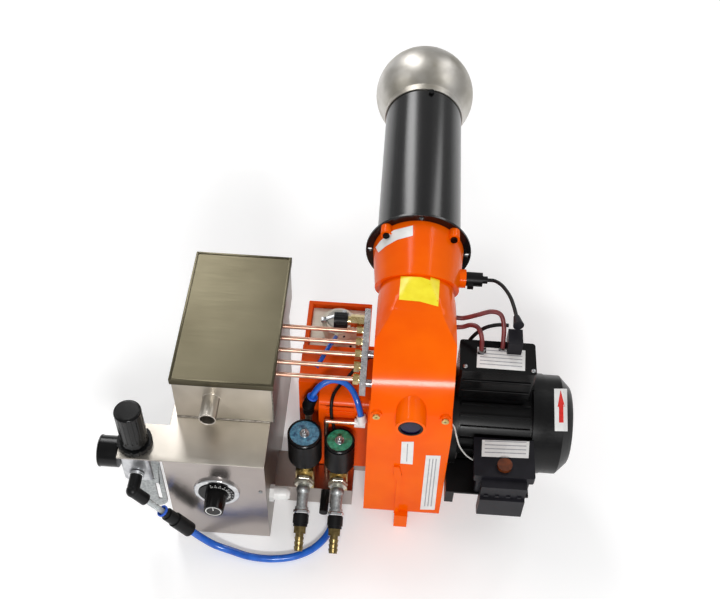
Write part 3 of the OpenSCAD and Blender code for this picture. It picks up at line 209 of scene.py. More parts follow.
# Heat-resistant black paint on steel tube: satin, drawn into long even highlights
STOVE = finish("black_stove_paint", "#060607", "#0B0B0C", 0.24, 50.0, 3.0, 0.006, spread=0.02)
# Black lacquer on motor castings: satin over the grain of the sand
LACQUER = finish("black_machine_lacquer", "#060606", "#0C0C0D", 0.34, 30.0, 2.5, 0.05, sockets=DULL)
# Spun stainless steel: silvery, with broad faint clouds of straw from the flame
HEAD = finish(
    "spun_stainless_steel", "#A39E93", "#D2CFCA", 0.42, 52.0, 3.0, 0.004, SPUN, 0.03, METAL,
)
# Brushed stainless sheet on the lid, its scratches long and fine along the width; its dark olive-grey is a
# painted reflection of the dim ceiling it mirrors
LID_SHEET = finish(
    "brushed_stainless_lid", "#504B3C", "#5D5848", 0.34, 120.0, 1.0, 0.006, WIDTHWAYS, 0.04, METAL,
)
# Stainless sheet on the box and the channel, cooler, its scratches upright, slightly dished
SHEET = finish(
    "brushed_stainless_walls", "#A89F9A", "#B6AEA9", 0.25, 75.0, 1.0, 0.003, UPRIGHT, 0.03, METAL,
    wave_mm=0.9,
)
# The right-hand walls of box and tank: darker, a painted shade for the side turned from the light, and duller
SIDE_SHEET = finish(
    "shaded_stainless_walls", "#837B75", "#938A84", 0.36, 80.0, 1.0, 0.003, UPRIGHT, 0.04, METAL,
    wave_mm=0.8,
)
# The same sheet, paler and with a softer polish, on the tank's walls and the ledge below them; on the ledge,
# the box's upward faces, the paleness is painted light on the tops
PALE_SHEET = finish(
    "paler_stainless_and_lit_tops", "#BFB9AE", "#D7D0C6", 0.36, 70.0, 1.0, 0.003, UPRIGHT, 0.04, METAL,
    wave_mm=0.8,
)
# Weld bead: ripples across a darker, straw-coloured seam
WELD = finish("tig_weld_bead", "#6B665E", "#A8A299", 0.38, 4.0, 1.6, 0.25, spread=0.1, sockets=METAL)
# Machined brass: pale and clean, its gloss broken by a fine grain
BRASS = finish("machined_brass", "#C4AC74", "#E6D5A4", 0.27, 9.0, 0.8, 0.03, sockets=METAL)
# Hose nipples of older brass, browner and duller
OLD_BRASS = finish("aged_brass", "#665636", "#968458", 0.34, 6.0, 0.8, 0.03, sockets=METAL)
# Drawn copper pipe, pinkish and bright, with long draw lines
COPPER = finish("drawn_copper", "#C6927A", "#E2BCA8", 0.3, 16.0, 3.0, 0.003, DRAWN, 0.03, METAL)
# Machined steel: bright with a fine grain
STEEL = finish("machined_steel", "#8E9092", "#B9BBBD", 0.28, 8.0, 0.8, 0.03, sockets=METAL)
# Polished chrome: mirror-like, with a light haze
CHROME = finish("polished_chrome", "#C6C7C9", "#E2E3E4", 0.14, 8.0, 0.8, 0.01, spread=0.04, sockets=METAL)
# Die-cast zinc alloy: pale, with a soft skin
CAST = finish("cast_zinc_alloy", "#B4B5B8", "#D2D3D5", 0.38, 10.0, 1.6, 0.06, sockets=METAL)
# Pale nickel plate on the hexagon rings, creamy
NICKEL = finish("satin_nickel_plate", "#D8D2C0", "#F0EBDC", 0.32, 6.0, 0.8, 0.02, sockets={"Metallic": 0.8})
# Yellow-passivated zinc on the cover screws: straw with a greenish cast
PASSIVATED = finish("yellow_passivated_zinc", "#B59A52", "#DCC98A", 0.32, 3.0, 0.6, 0.02, sockets=METAL)
# Steel blued by heat: dark, with brown clouds
BLUED = finish("blued_steel", "#3E3B3A", "#5E564E", 0.4, 10.0, 1.0, 0.03, sockets=METAL)
# Blackened screws: nearly black with a dull shine
BLACKENED = finish("blackened_screws", "#1B1B1C", "#333334", 0.38, 4.0, 0.8, 0.02, sockets=METAL)
# Black nylon, glass-filled: matt with a fine pebbled skin
NYLON = finish("black_moulded_nylon", "#09090A", "#121213", 0.4, 20.0, 1.2, 0.04, sockets=DULL)
# Black ABS, polished mould: glossy, its gloss a little uneven
ABS_BLACK = finish(
    "black_moulded_abs", "#040405", "#090909", 0.22, 25.0, 12.0, 0.05, spread=0.04, sockets=GLOSSY,
)
# Charcoal ABS, spark-eroded mould: soft sheen, faintly violet
ABS_CHARCOAL = finish("charcoal_moulded_abs", "#121116", "#19181E", 0.42, 20.0, 1.2, 0.05, sockets=DULL)
# White nylon fittings: smooth and milky
NYLON_WHITE = finish("white_moulded_nylon", "#DEDEDC", "#F2F2F0", 0.32, 12.0, 1.5, 0.02)
# Cream ABS cover: warm, with a fine texture
ABS_CREAM = finish("cream_moulded_abs", "#D6CFBC", "#E8E2D2", 0.42, 14.0, 1.2, 0.04)
# Brown ABS push button: glossy, its brown a little uneven
ABS_BROWN = finish("brown_moulded_abs", "#4A2310", "#6E3517", 0.22, 9.0, 1.5, 0.02)
# Foil discs on the coils: blue and green, blotchy, with a slight ripple
FOIL_BLUE = finish(
    "blue_foil_disc", "#16466A", "#5AA0BC", 0.3, 4.5, 2.5, 0.06, sockets={"Coat Weight": 0.4},
)
FOIL_GREEN = finish(
    "green_foil_disc", "#0B5E42", "#37A880", 0.3, 4.5, 2.5, 0.06, sockets={"Coat Weight": 0.4},
)
# Grey ABS dome of the pressure switch: satin, slightly green
ABS_GREY = finish("grey_moulded_abs", "#A4A69C", "#C2C4BA", 0.35, 12.0, 1.5, 0.03)
# Acetal release collars: saturated blue, smooth
COLLAR_BLUE = finish("blue_acetal_collar", "#1B50C0", "#2F6AE0", 0.3, 6.0, 1.2, 0.02)
# Extruded polyurethane hose: smooth and glossy, with a slow wave in its gloss
HOSE_BLUE = finish(
    "blue_polyurethane_hose", "#0C50B4", "#1868D0", 0.22, 16.0, 6.0, 0.05, sockets={"Coat Weight": 0.2},
)
# Silicone ignition lead: dull dark red
LEAD_RED = finish("red_silicone_lead", "#5C1E20", "#7C3232", 0.42, 12.0, 1.5, 0.03)
# Rubber cable: black, faintly dusty
CABLE = finish("black_rubber_cable", "#0A0A0B", "#161617", 0.42, 14.0, 1.5, 0.03, sockets=DULL)
# Grey PVC wire: pale and nearly matt
WIRE_GREY = finish("grey_pvc_wire", "#B6B6B2", "#D6D6D2", 0.4, 8.0, 1.5, 0.02)
# Clear polyurethane tube, faintly grey, with a wet gloss
CLEAR = finish(
    "clear_polyurethane_tube", "#DDE2E2", "#F0F3F3", 0.13, 10.0, 4.0, 0.02, spread=0.04,
    sockets={"Transmission Weight": 0.7, "IOR": 1.48},
)
# Clear acrylic pane over the gauge: flat and very smooth
PANE = finish(
    "clear_acrylic_pane", "#F2F5F5", "#FAFBFB", 0.07, 10.0, 5.0, 0.01, spread=0.02,
    sockets={"Transmission Weight": 0.95, "IOR": 1.49},
)
# Cobalt viewing glass: nearly black from outside, polished
COBALT = finish("cobalt_glass", "#0A0826", "#151238", 0.08, 12.0, 8.0, 0.02, spread=0.03, sockets=GLOSSY)
# Glazed ceramic of the electrodes: off-white under a smooth gloss
CERAMIC = finish("glazed_ceramic", "#DDD8CC", "#EDE9E0", 0.16, 8.0, 2.0, 0.02, spread=0.04)
# Plain vinyl labels: even film with the softest ripple
VINYL_WHITE = finish("white_vinyl_label", "#DCDCDA", "#E6E6E4", 0.36, 12.0, 6.0, 0.04)
VINYL_YELLOW = finish("yellow_vinyl_label", "#EFDC10", "#F8E824", 0.34, 12.0, 6.0, 0.04)
# Inks on labels and dials: flat tones with little shine
INK_GREY = finish("grey_label_ink", "#8C8C92", "#A6A6AC", 0.45, 3.0, 1.0, 0.01)
INK_RED = finish("red_label_ink", "#C2170F", "#D8241A", 0.42, 4.0, 1.0, 0.01)
# The white ink also paints a highlight: the pale end ring on the thermostat grip
WHITE_INK_AND_HIGHLIGHT = finish("white_dial_ink_and_painted_highlight", "#D8D8D6", "#ECECEA", 0.4, 3.0, 1.0, 0.01)
# The black ink also paints shade: the crosses in the cover screws' recesses
BLACK_INK_AND_SHADE = finish("black_dial_ink_and_painted_shade", "#101011", "#1C1C1D", 0.45, 3.0, 1.0, 0.01)


def spangled_zinc():
    """Hot-dip zinc: pale grey crystals a few millimetres wide."""
    material = finish("hot_dip_zinc", "#94989A", "#B6B9B8", 0.42, 4.0, 2.5, 0.03, sockets={"Metallic": 0.9})
    tree = material.node_tree
    place = add(tree, "ShaderNodeTexCoord").outputs["Object"]
    crystals = add(tree, "ShaderNodeTexVoronoi", {"Vector": place, "Scale": 1.0 / (3.5 * MM)})
    share = add(tree, "ShaderNodeMapRange", {"Value": crystals.outputs["Distance"], "From Max": 0.8})
    tone = add(
        tree,
        "ShaderNodeMix",
        {"Factor": share.outputs["Result"], "A": hex_colour("#8A8E90"), "B": hex_colour("#B8BBBA")},
        data_type="RGBA",
    )
    tree.links.new(tone.outputs["Result"], tree.nodes["Principled BSDF"].inputs["Base Color"])
    return material


ZINC = spangled_zinc()

# Free hoses, cables and leads: millimetre routes between the fittings that hold their ends

ELBOW_CORNER = Vector((-343.0, -321.0, -134.0))
HOSE_START = Vector((-280.0, -321.0, -227.0))
HOSE_WAY = (HOSE_START - ELBOW_CORNER).normalized()
# the hose starts this far in front of the reducer
START_PLAY = 0.25

AIR_HOSE = [
    tuple(HOSE_START + START_PLAY * HOSE_WAY), (-267, -321, -246.2), (-249, -324, -260), (-226, -328, -266),
    (-200, -334, -267), (-170, -335, -267), (-140, -329, -267), (-115, -315, -266), (-98, -294, -263),
    (-91.5, -268, -260), (-91, -254.3, -259),
]
NOZZLE_HOSE = [
    (-128, -190, -92), (-125, -189, -82), (-117, -184, -71), (-103, -179, -65), (-87, -181, -65),
    (-75, -190, -69), (-67, -202, -79), (-62, -211, -94),
]
SWITCH_HOSE = [(-104, -98, -78), (-106, -110, -70), (-112, -128, -64), (-119, -146, -65), (-125, -156, -70)]
CELL_CABLE = [
    (93.3, -46, 0), (103, -46.6, 0), (112, -60, 6), (120, -84, 14), (124, -108, 20), (126, -124, 22),
]
LEAD_LONG = [
    (50.3, -117, 4), (62, -117.5, 5), (78, -120, 16), (94, -120, 24), (106, -124, 24), (111, -134, 14),
    (112, -146, -2), (112, -150, -10),
]
LEAD_SHORT = [(50.3, -133, 4), (60, -133, 6), (70, -134, 12), (79, -140, 14), (84, -150, 6), (85, -156, -10)]

SUPPLY_CABLE = [
    (58, -150, -73), (61, -140, -62), (66, -133, -44), (74, -129, -20), (88, -126.5, -2), (104, -127, 7),
    (117.5, -130, 11),
]
VALVE_CABLE = [
    (-50.3, -138, -64), (-58, -139, -65), (-71, -151, -69), (-83, -165, -75), (-93, -178, -78),
    (-99, -190, -79.5), (-101, -200, -84), (-101, -206.3, -96), (-100, -207.2, -110),
    (-98, -208.5, -124), (-96.5, -211.5, -134),
]
EARTH_WIRE = [
    (52.2, -231, -66), (57, -236, -69), (61, -241, -82), (66, -244, -98), (74, -246, -112),
    (82, -247.5, -120), (88.8, -248.5, -124),
]

# Straight pieces of the curve between two points of a route
STEPS_PER_STRETCH = 8


def smooth_route(points_mm):
    """A Catmull-Rom curve through the points, in metres."""
    points = [Vector(p) * MM for p in points_mm]
    ends = [2 * points[0] - points[1], *points, 2 * points[-1] - points[-2]]
    route = []
    for i in range(1, len(ends) - 2):
        a, b, c, d = ends[i - 1 : i + 3]
        for step in range(STEPS_PER_STRETCH):
            t = step / STEPS_PER_STRETCH
            route.append(
                0.5 * (2 * b + (c - a) * t + (2 * a - 5 * b + 4 * c - d) * t * t
                       + (3 * b - a - 3 * c + d) * t * t * t)
            )
    route.append(points[-1])
    return route


def free_cord(name, points_mm, diameter_mm, material, node):
    """A round cord along its route; it shows in place of its CAD node where it has one."""
    route = smooth_route(points_mm)
    diameter = diameter_mm * MM
    curve = bpy.data.curves.new(name, "CURVE")
    curve.dimensions = "3D"
    curve.bevel_depth = diameter / 2
    curve.bevel_resolution = 5
    curve.use_fill_caps = True
    spline = curve.splines.new("POLY")
    spline.points.add(len(route) - 1)
    for point, place in zip(spline.points, route):
        point.co = (*place, 1.0)
    spline.use_smooth = True
    piece = bpy.data.objects.new(name, curve)
    bpy.context.scene.collection.objects.link(piece)
    curve.materials.append(material)
    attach(piece, "burner")
    if node:
        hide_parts(node)


free_cord("air_hose_blue", AIR_HOSE, 10.0, HOSE_BLUE, "air_hose")
free_cord("nozzle_hose_blue", NOZZLE_HOSE, 8.0, HOSE_BLUE, "nozzle_hose")
free_cord("switch_hose_blue", SWITCH_HOSE, 6.0, HOSE_BLUE, "switch_hose")
free_cord("photocell_lead", CELL_CABLE, 5.0, CABLE, "photocell_cable")
free_cord("ignition_lead_long", LEAD_LONG, 6.0, LEAD_RED, "ht_lead_long")
free_cord("ignition_lead_short", LEAD_SHORT, 6.0, LEAD_RED, "ht_lead_short")
free_cord("supply_cable", SUPPLY_CABLE, 5.0, CABLE, None)
free_cord("valve_cable", VALVE_CABLE, 4.5, CABLE, None)
free_cord("earth_wire", EARTH_WIRE, 2.0, WIRE_GREY, None)

# Shapes for the fine parts: millimetres in, one object out

FINE_SHARP_FROM = math.radians(40)


def block(low, high, edge=0.0):
    """A box between two corners, its edges rounded by edge."""
    bm = bmesh.new()
    bmesh.ops.create_cube(bm, size=1.0)
    bmesh.ops.scale(bm, verts=bm.verts, vec=[b - a for a, b in zip(low, high)])
    bmesh.ops.translate(bm, verts=bm.verts, vec=[(a + b) / 2 for a, b in zip(low, high)])
    if edge:
        bmesh.ops.bevel(
            bm, geom=bm.edges[:], offset=edge, segments=2, profile=0.5, affect="EDGES", material=-1
        )
    return bm


def turned(profile, place, way=(0, 0, 1), sides=40):
    """A shape from the lathe: profile points are (radius, height), from the foot up."""
    bm = bmesh.new()
    points = [bm.verts.new((radius, 0.0, height)) for radius, height in profile]
    edges = [bm.edges.new(pair) for pair in zip(points, points[1:])]
    bmesh.ops.spin(
        bm, geom=points + edges, cent=(0, 0, 0), axis=(0, 0, 1), angle=2 * math.pi, steps=sides,
        use_merge=True,
    )
    bmesh.ops.remove_doubles(bm, verts=bm.verts, dist=0.001)
    bmesh.ops.recalc_face_normals(bm, faces=bm.faces)
    turn = Vector((0, 0, 1)).rotation_difference(Vector(way)).to_matrix()
    bmesh.ops.rotate(bm, verts=bm.verts, cent=(0, 0, 0), matrix=turn)
    bmesh.ops.translate(bm, verts=bm.verts, vec=place)
    return bm


def ring(inner, outer, height, place, way=(0, 0, 1), sides=40, edge=0.4):
    """A ring with its outer corners broken; six sides make it a nut."""
    return turned(
        [
            (inner, 0), (outer - edge, 0), (outer, edge), (outer, height - edge), (outer - edge, height),
            (inner, height), (inner, 0),
        ],
        place, way, sides,
    )


def disc(radius, height, place, way=(0, 0, 1), edge=0.2):
    """A disc with its upper corner broken."""
    return turned(
        [(0, 0), (radius, 0), (radius, height - edge), (radius - edge, height), (0, height)], place, way
    )


def together(parts):
    """One bmesh out of several, which are freed."""
    whole = bmesh.new()
    for part in parts:
        mesh = bpy.data.meshes.new("part")
        part.to_mesh(mesh)
        part.free()
        whole.from_mesh(mesh)
        bpy.data.meshes.remove(mesh)
    return whole


def make(name, parts, material, body="burner"):
    """One object from shapes in millimetres, riding on its body."""
    whole = together(parts if isinstance(parts, list) else [parts])
    bmesh.ops.scale(whole, verts=whole.verts, vec=(MM, MM, MM))
    mesh = bpy.data.meshes.new(name)
    whole.to_mesh(mesh)
    whole.free()
    mesh.materials.append(material)
    for face in mesh.polygons:
        face.use_smooth = True
    piece = bpy.data.objects.new(name, mesh)
    bpy.context.scene.collection.objects.link(piece)
    split = piece.modifiers.new("sharp_edges", "EDGE_SPLIT")
    split.split_angle = FINE_SHARP_FROM
    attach(piece, body)


# Places seen in the photograph, found on the CAD surfaces behind their pixels

surfaces = {}


def sight(px, py):
    """The direction from the eye through a pixel."""
    across = (px - PHOTO_WIDTH_PX / 2) / FOCAL_PX
    down = (py - PHOTO_HEIGHT_PX / 2) / FOCAL_PX
    right, up, forward = camera_axes()
    return (forward + across * right - down * up).normalized()


def seen(node, px, py):
    """Where the line of sight through a pixel meets a CAD node, in mm, and the surface's normal."""
    if node not in surfaces:
        mesh = nodes[node].data
        corners = [vertex.co for vertex in mesh.vertices]
        surfaces[node] = BVHTree.FromPolygons(corners, [face.vertices[:] for face in mesh.polygons])
    place, normal, _, _ = surfaces[node].ray_cast(EYE, sight(px, py))
    if place is None:
        return None
    return place / MM, normal


def along_row(points, share):
    """A point at a share of a row of pixels."""
    spot = share * (len(points) - 1)
    first = min(int(spot), len(points) - 2)
    part = spot - first
    return [(1 - part) * a + part * b for a, b in zip(points[first], points[first + 1])]


# Keeps a film's distance from a surface that is seen nearly edge-on from growing without end
LEAST_COSINE = 0.35


def film(node, top_px, bottom_px, proud=0.2, thick=0.25, across=16, down=8):
    """A thin film stuck on a node between two rows of pixels, following the surface under it.
    Where the line of sight misses the node there is no film."""
    bm = bmesh.new()
    bmesh.ops.create_grid(bm, x_segments=across, y_segments=down, size=0.5)
    lost = []
    for vert in bm.verts:
        u, v = vert.co.x + 0.5, 0.5 - vert.co.y
        upper, lower = along_row(top_px, u), along_row(bottom_px, u)
        found = seen(node, *[(1 - v) * a + v * b for a, b in zip(upper, lower)])
        if found is None:
            lost.append(vert)
        else:
            back = (EYE / MM - found[0]).normalized()
            vert.co = found[0] + back * proud / max(LEAST_COSINE, back.dot(found[1]))
    if lost:
        bmesh.ops.delete(bm, geom=lost, context="VERTS")
    bm.normal_update()
    middle = sum((vert.co for vert in bm.verts), Vector()) / max(1, len(bm.verts))
    facing = sum((face.normal for face in bm.faces), Vector()).dot(EYE / MM - middle)
    if facing < 0:
        bmesh.ops.reverse_faces(bm, faces=bm.faces)
        bm.normal_update()
    grown = bmesh.ops.extrude_face_region(bm, geom=bm.faces[:])
    raised = [item for item in grown["geom"] if isinstance(item, bmesh.types.BMVert)]
    for vert in raised:
        vert.co += vert.normal * thick
    bmesh.ops.recalc_face_normals(bm, faces=bm.faces)
    return bm


# Stretches of a ruled bar between its two ends
FIELD_STEPS = 4


def inside(top_px, bottom_px, left, right, upper, lower):
    """The two pixel rows of a smaller field within a film."""
    rows = []
    for v in (upper, lower):
        row = []
        for step in range(FIELD_STEPS + 1):
            u = left + (right - left) * step / FIELD_STEPS
            a, b = along_row(top_px, u), along_row(bottom_px, u)
            row.append([(1 - v) * p + v * q for p, q in zip(a, b)])
        rows.append(row)
    return rows


def label(name, node, top_px, bottom_px, material, fields=(), ink=None):
    """A plain label; its fields are bare ruled bars."""
    make(name, film(node, top_px, bottom_px), material)
    if fields:
        bars = [
            film(node, *inside(top_px, bottom_px, *field), proud=0.5, thick=0.04, across=8, down=2)
            for field in fields
        ]
        make(name + "_rules", bars, ink)


# Ruled bars by their left, right, upper and lower edges, as shares of the label
RULES_WIDE = [(0.06, 0.94, 0.1 + 0.17 * i, 0.14 + 0.17 * i) for i in range(5)]
RULES_NARROW = [(0.25 + 0.22 * i, 0.32 + 0.22 * i, 0.06, 0.94) for i in range(3)]
RULE_SINGLE = [(0.46, 0.54, 0.1, 0.9)]

# Rows of pixels along the upper and the lower edge of each label place

COLLAR_LABEL_TOP = [(375.7, 247.5), (380.7, 240.7), (392.9, 230.5), (412.9, 225.5)]
COLLAR_LABEL_BOTTOM = [(378.5, 252.5), (385.5, 246.4), (397.1, 239.8), (412.9, 235.7)]
NECK_LABEL_TOP = [(401.1, 272.8), (421.4, 273.8), (439.7, 280.2)]
NECK_LABEL_BOTTOM = [(398.9, 299.7), (420.0, 301.6), (438.3, 306.6)]
COVER_LABEL_TOP = [(401.7, 441.7), (413.9, 441.7)]
COVER_LABEL_BOTTOM = [(400.4, 463.3), (412.6, 464.3)]
TILTED_LABEL_TOP = [(426.0, 455.3), (440.7, 455.7)]
TILTED_LABEL_BOTTOM = [(420.1, 509.3), (434.6, 509.7)]
TRANSFORMER_LABEL_TOP = [(477.5, 346.9), (525.4, 350.6)]
TRANSFORMER_LABEL_BOTTOM = [(476.6, 367.5), (525.0, 371.0)]
UNIT_LABEL_TOP = [(482.3, 434.4), (529.8, 436.0)]
UNIT_LABEL_BOTTOM = [(481.6, 456.5), (528.5, 458.3)]
COWL_LABEL_TOP = [(554.1, 388.8), (566.9, 388.8)]
COWL_LABEL_BOTTOM = [(554.8, 431.0), (567.5, 431.3)]

label("collar_label", "housing_neck", COLLAR_LABEL_TOP, COLLAR_LABEL_BOTTOM, VINYL_WHITE)
label("neck_label", "volute_housing", NECK_LABEL_TOP, NECK_LABEL_BOTTOM, VINYL_YELLOW)
label(
    "cover_label", "front_cover", COVER_LABEL_TOP, COVER_LABEL_BOTTOM, VINYL_WHITE,
    RULE_SINGLE, INK_GREY,
)
label(
    "tilted_label", "front_cover", TILTED_LABEL_TOP, TILTED_LABEL_BOTTOM, VINYL_WHITE,
    RULES_NARROW, INK_GREY,
)
label(
    "transformer_label", "ignition_transformer", TRANSFORMER_LABEL_TOP, TRANSFORMER_LABEL_BOTTOM,
    VINYL_WHITE, RULES_WIDE, INK_GREY,
)
label(
    "control_unit_label", "control_unit", UNIT_LABEL_TOP, UNIT_LABEL_BOTTOM, VINYL_WHITE,
    RULES_WIDE, INK_GREY,
)
label("turning_label", "fan_cowl", COWL_LABEL_TOP, COWL_LABEL_BOTTOM, VINYL_WHITE)
ARROW_HEAD = [[(560.4, 390.6), (560.8, 390.6)], [(557.6, 406.8), (564.9, 406.8)]]
ARROW_SHAFT = [[(558.9, 406.4), (563.4, 406.4)], [(559.0, 422.6), (563.6, 422.6)]]
make(
    "turning_arrow",
    [film("fan_cowl", *rows, proud=0.5, thick=0.05, across=4, down=10) for rows in (ARROW_HEAD, ARROW_SHAFT)],
    INK_RED,
)

# Solenoid coils: dark rim, plain foil disc, washer, nut and stud on top

LARGE_X, SMALL_X = -134, -88
COIL_Y = -229
RIM_WIDTH = 3.2
RIM_HEIGHT = 2.6
DISC_HEIGHT = 1.6
WASHER_HEIGHT = 0.9
STUD_RADIUS = 2.3
VALVE_Z = -204
HEXAGON_Y = -248.5
COILS = (
    ("large", (LARGE_X, COIL_Y, -119), 22.5, FOIL_BLUE, "hose_blue"),
    ("small", (SMALL_X, COIL_Y, -130), 20.0, FOIL_GREEN, "black_plastic"),
)
for size_name, top, radius, foil, foil_slot in COILS:
    x, y, z = top
    make(
        f"coil_rim_{size_name}", ring(radius - RIM_WIDTH, radius, RIM_HEIGHT, top, edge=1.0),
        ABS_BLACK,
    )
    make(f"coil_disc_{size_name}", disc(radius - RIM_WIDTH + 0.2, DISC_HEIGHT, top), foil)
    on_disc = z + DISC_HEIGHT
    make(
        f"coil_nut_{size_name}",
        [
            disc(6.4, WASHER_HEIGHT, (x, y, on_disc)),
            ring(STUD_RADIUS, 5.0, 3.8, (x, y, on_disc + WASHER_HEIGHT), sides=6),
            disc(STUD_RADIUS, 7.4, (x, y, on_disc), edge=0.6),
        ],
        STEEL,
    )
    # the pale hexagon where the elbow leaves the valve
    hexagon = ring(9.0, 13.4, 3.2, (x, HEXAGON_Y, VALVE_Z), (0, -1, 0), 6)
    make(f"hexagon_ring_{size_name}", hexagon, NICKEL)

# Chrome rings between the elbows and the black unions

OUTLET_WAY = Vector((0.0, -0.906, -0.423))
BEND_Y = -262
LEG_LENGTH = 27.0
for size_name, x in (("large", LARGE_X), ("small", SMALL_X)):
    place = Vector((x, BEND_Y, VALVE_Z)) + LEG_LENGTH * OUTLET_WAY
    make(f"outlet_ring_{size_name}", ring(7.5, 11.2, 4.5, place, OUTLET_WAY, edge=0.8), CHROME)

# Thermostat: numerals and ticks turn with the dial; the grip has a pale end ring, a painted highlight on its
# rim, and a pointer line

DIAL = Vector((-241.0, -305.0, -156.0))
FIRST_FIGURE = 30
FIGURE_STEP = 10
FIRST_MARK_DEG = -16
MARK_STEP_DEG = 17
FIGURE_CIRCLE = 17.2
FIGURE_HEIGHT = 4.0
FIGURE_PROUD = 0.12
SUNK = 0.06
TICK_FROM, TICK_TO = 20.3, 22.4
GRIP_LENGTH = 25.0
GRIP_FILM_THICK = 0.25


def figures(text, place, upright):
    """Plain numerals standing on a face that looks along -Y, their tops towards upright."""
    curve = bpy.data.curves.new("figures", "FONT")
    curve.body = text
    curve.size = FIGURE_HEIGHT
    curve.align_x = "CENTER"
    curve.align_y = "CENTER"
    curve.extrude = FIGURE_PROUD / 2
    curve.resolution_u = 2
    holder = bpy.data.objects.new("figures", curve)
    bpy.context.scene.collection.objects.link(holder)
    view = bpy.context.evaluated_depsgraph_get()
    flat = bpy.data.meshes.new_from_object(holder.evaluated_get(view))
    bpy.data.objects.remove(holder)
    bm = bmesh.new()
    bm.from_mesh(flat)
    bpy.data.meshes.remove(flat)
    out = Vector((0, -1, 0))
    up = Vector(upright).normalized()
    side = up.cross(out)
    bmesh.ops.rotate(bm, verts=bm.verts, cent=(0, 0, 0), matrix=Matrix((side, up, out)).transposed())
    bmesh.ops.translate(bm, verts=bm.verts, vec=place)
    return bm


def turn_and_place(shape, turn, axis, place):
    """Turns a shape about an axis through the origin, then moves it to its place."""
    bmesh.ops.rotate(shape, verts=shape.verts, cent=(0, 0, 0), matrix=Matrix.Rotation(turn, 3, axis))
    bmesh.ops.translate(shape, verts=shape.verts, vec=place)
    return shape


marks = []
for i in range(9):
    turn = math.radians(FIRST_MARK_DEG + MARK_STEP_DEG * i)
    outward = Vector((math.sin(turn), 0, math.cos(turn)))
    place = DIAL + FIGURE_CIRCLE * outward - Vector((0, SUNK, 0))
    marks.append(figures(str(FIRST_FIGURE + FIGURE_STEP * i), place, outward))
    tick = block((-0.35, -FIGURE_PROUD, TICK_FROM), (0.35, 0.02, TICK_TO))
    marks.append(turn_and_place(tick, turn, "Y", DIAL))
make("thermostat_numerals", marks, WHITE_INK_AND_HIGHLIGHT, "thermostat_dial")
GRIP_END = DIAL - Vector((0, GRIP_LENGTH, 0))
# the end ring is a painted highlight on the rim of the grip's end cap; the line is a printed pointer
make(
    "thermostat_grip_highlight_and_mark",
    [
        ring(9.2, 10.4, GRIP_FILM_THICK, GRIP_END, (0, -1, 0), edge=0.1),
        block(GRIP_END + Vector((-0.5, -GRIP_FILM_THICK, 2)), GRIP_END + Vector((0.5, 0, 8.6))),
    ],
    WHITE_INK_AND_HIGHLIGHT, "thermostat_dial",
)

# Pressure gauge: white face with ticks round it, clear pane, dark bezel

GAUGE = Vector((-384.0, -276.0, -116.0))
OUTWARD = Vector((-1, 0, 0))
FIRST_TICK_DEG = -135
TICK_STEP_DEG = 10
TICK_OUTER = 15.8
# how far the ticks, the pane and the bezel stand out from the dial
TICKS_OUT, PANE_OUT, BEZEL_OUT = 0.45, 4.6, 4.4
make("gauge_face", disc(17.4, 0.5, GAUGE, OUTWARD), VINYL_WHITE)
marks = []
for i in range(28):
    turn = math.radians(FIRST_TICK_DEG + TICK_STEP_DEG * i)
    # every fifth tick is longer and broader
    half_width, inner = (0.45, 11.6) if i % 5 == 0 else (0.3, 13.0)
    tick = block((-0.25, -half_width, inner), (-0.05, half_width, TICK_OUTER))
    marks.append(turn_and_place(tick, turn, "X", GAUGE + TICKS_OUT * OUTWARD))
make("gauge_ticks", marks, BLACK_INK_AND_SHADE)
make("gauge_pane", disc(18.0, 1.2, GAUGE + PANE_OUT * OUTWARD, OUTWARD), PANE)
bezel = ring(17.2, 20.6, 3.0, GAUGE + BEZEL_OUT * OUTWARD, OUTWARD, 48, 0.9)
make("gauge_bezel", bezel, ABS_BLACK)

# Rings on the push fittings

OUTLET_FACE = (-343, -296, -134)
ELBOW_END = 23.6
REDUCER_END = 55.6
NOZZLE_START = Vector(NOZZLE_HOSE[0])
NOZZLE_WAY = Vector(NOZZLE_HOSE[1]) - NOZZLE_START
make(
    "regulator_outlet_ring", ring(8.0, 10.0, 4.5, OUTLET_FACE, (0, -1, 0), edge=0.6), CHROME
)
make(
    "release_collars",
    [
        ring(6.2, 8.0, 3.4, ELBOW_CORNER + REDUCER_END * HOSE_WAY, HOSE_WAY, edge=0.7),
        ring(4.1, 7.2, 3.0, NOZZLE_START + Vector((0.5, 0.4, 0.6)), NOZZLE_WAY, edge=0.7),
    ],
    COLLAR_BLUE,
)
grey_collar = ring(4.2, 6.2, 2.4, ELBOW_CORNER + ELBOW_END * HOSE_WAY, HOSE_WAY, edge=0.5)
make("grey_release_collar", grey_collar, CAST)

# Sight glass: dark ring that holds the glass in its boss

BOSS_FACE = (0, -275.1, -17)
glass_ring = ring(12.6, 15.0, 1.8, BOSS_FACE, (0, -1, 0), edge=0.5)
make("sight_glass_ring", glass_ring, BLACKENED)

# Small fasteners

# A pan head with a rounded top: distances from its axis and heights, for a radius of one
PAN_HEAD = ((0, 0), (1, 0), (1, 0.25), (0.82, 0.45), (0.5, 0.6), (0, 0.64))


def screw_at(node, px, py, radius):
    """A pan head on the surface of a node, at a pixel."""
    place, normal = seen(node, px, py)
    return turned([(radius * out, radius * up) for out, up in PAN_HEAD], place, normal, 24)


# Pixels of the screw heads
TRANSFORMER_SCREWS = ((465.4, 366.2), (533.6, 371.2))
BOX_SCREW = (260.5, 492.0)
SWITCH_SCREWS = ((350.5, 346.5), (323.0, 339.0), (344.0, 336.5))

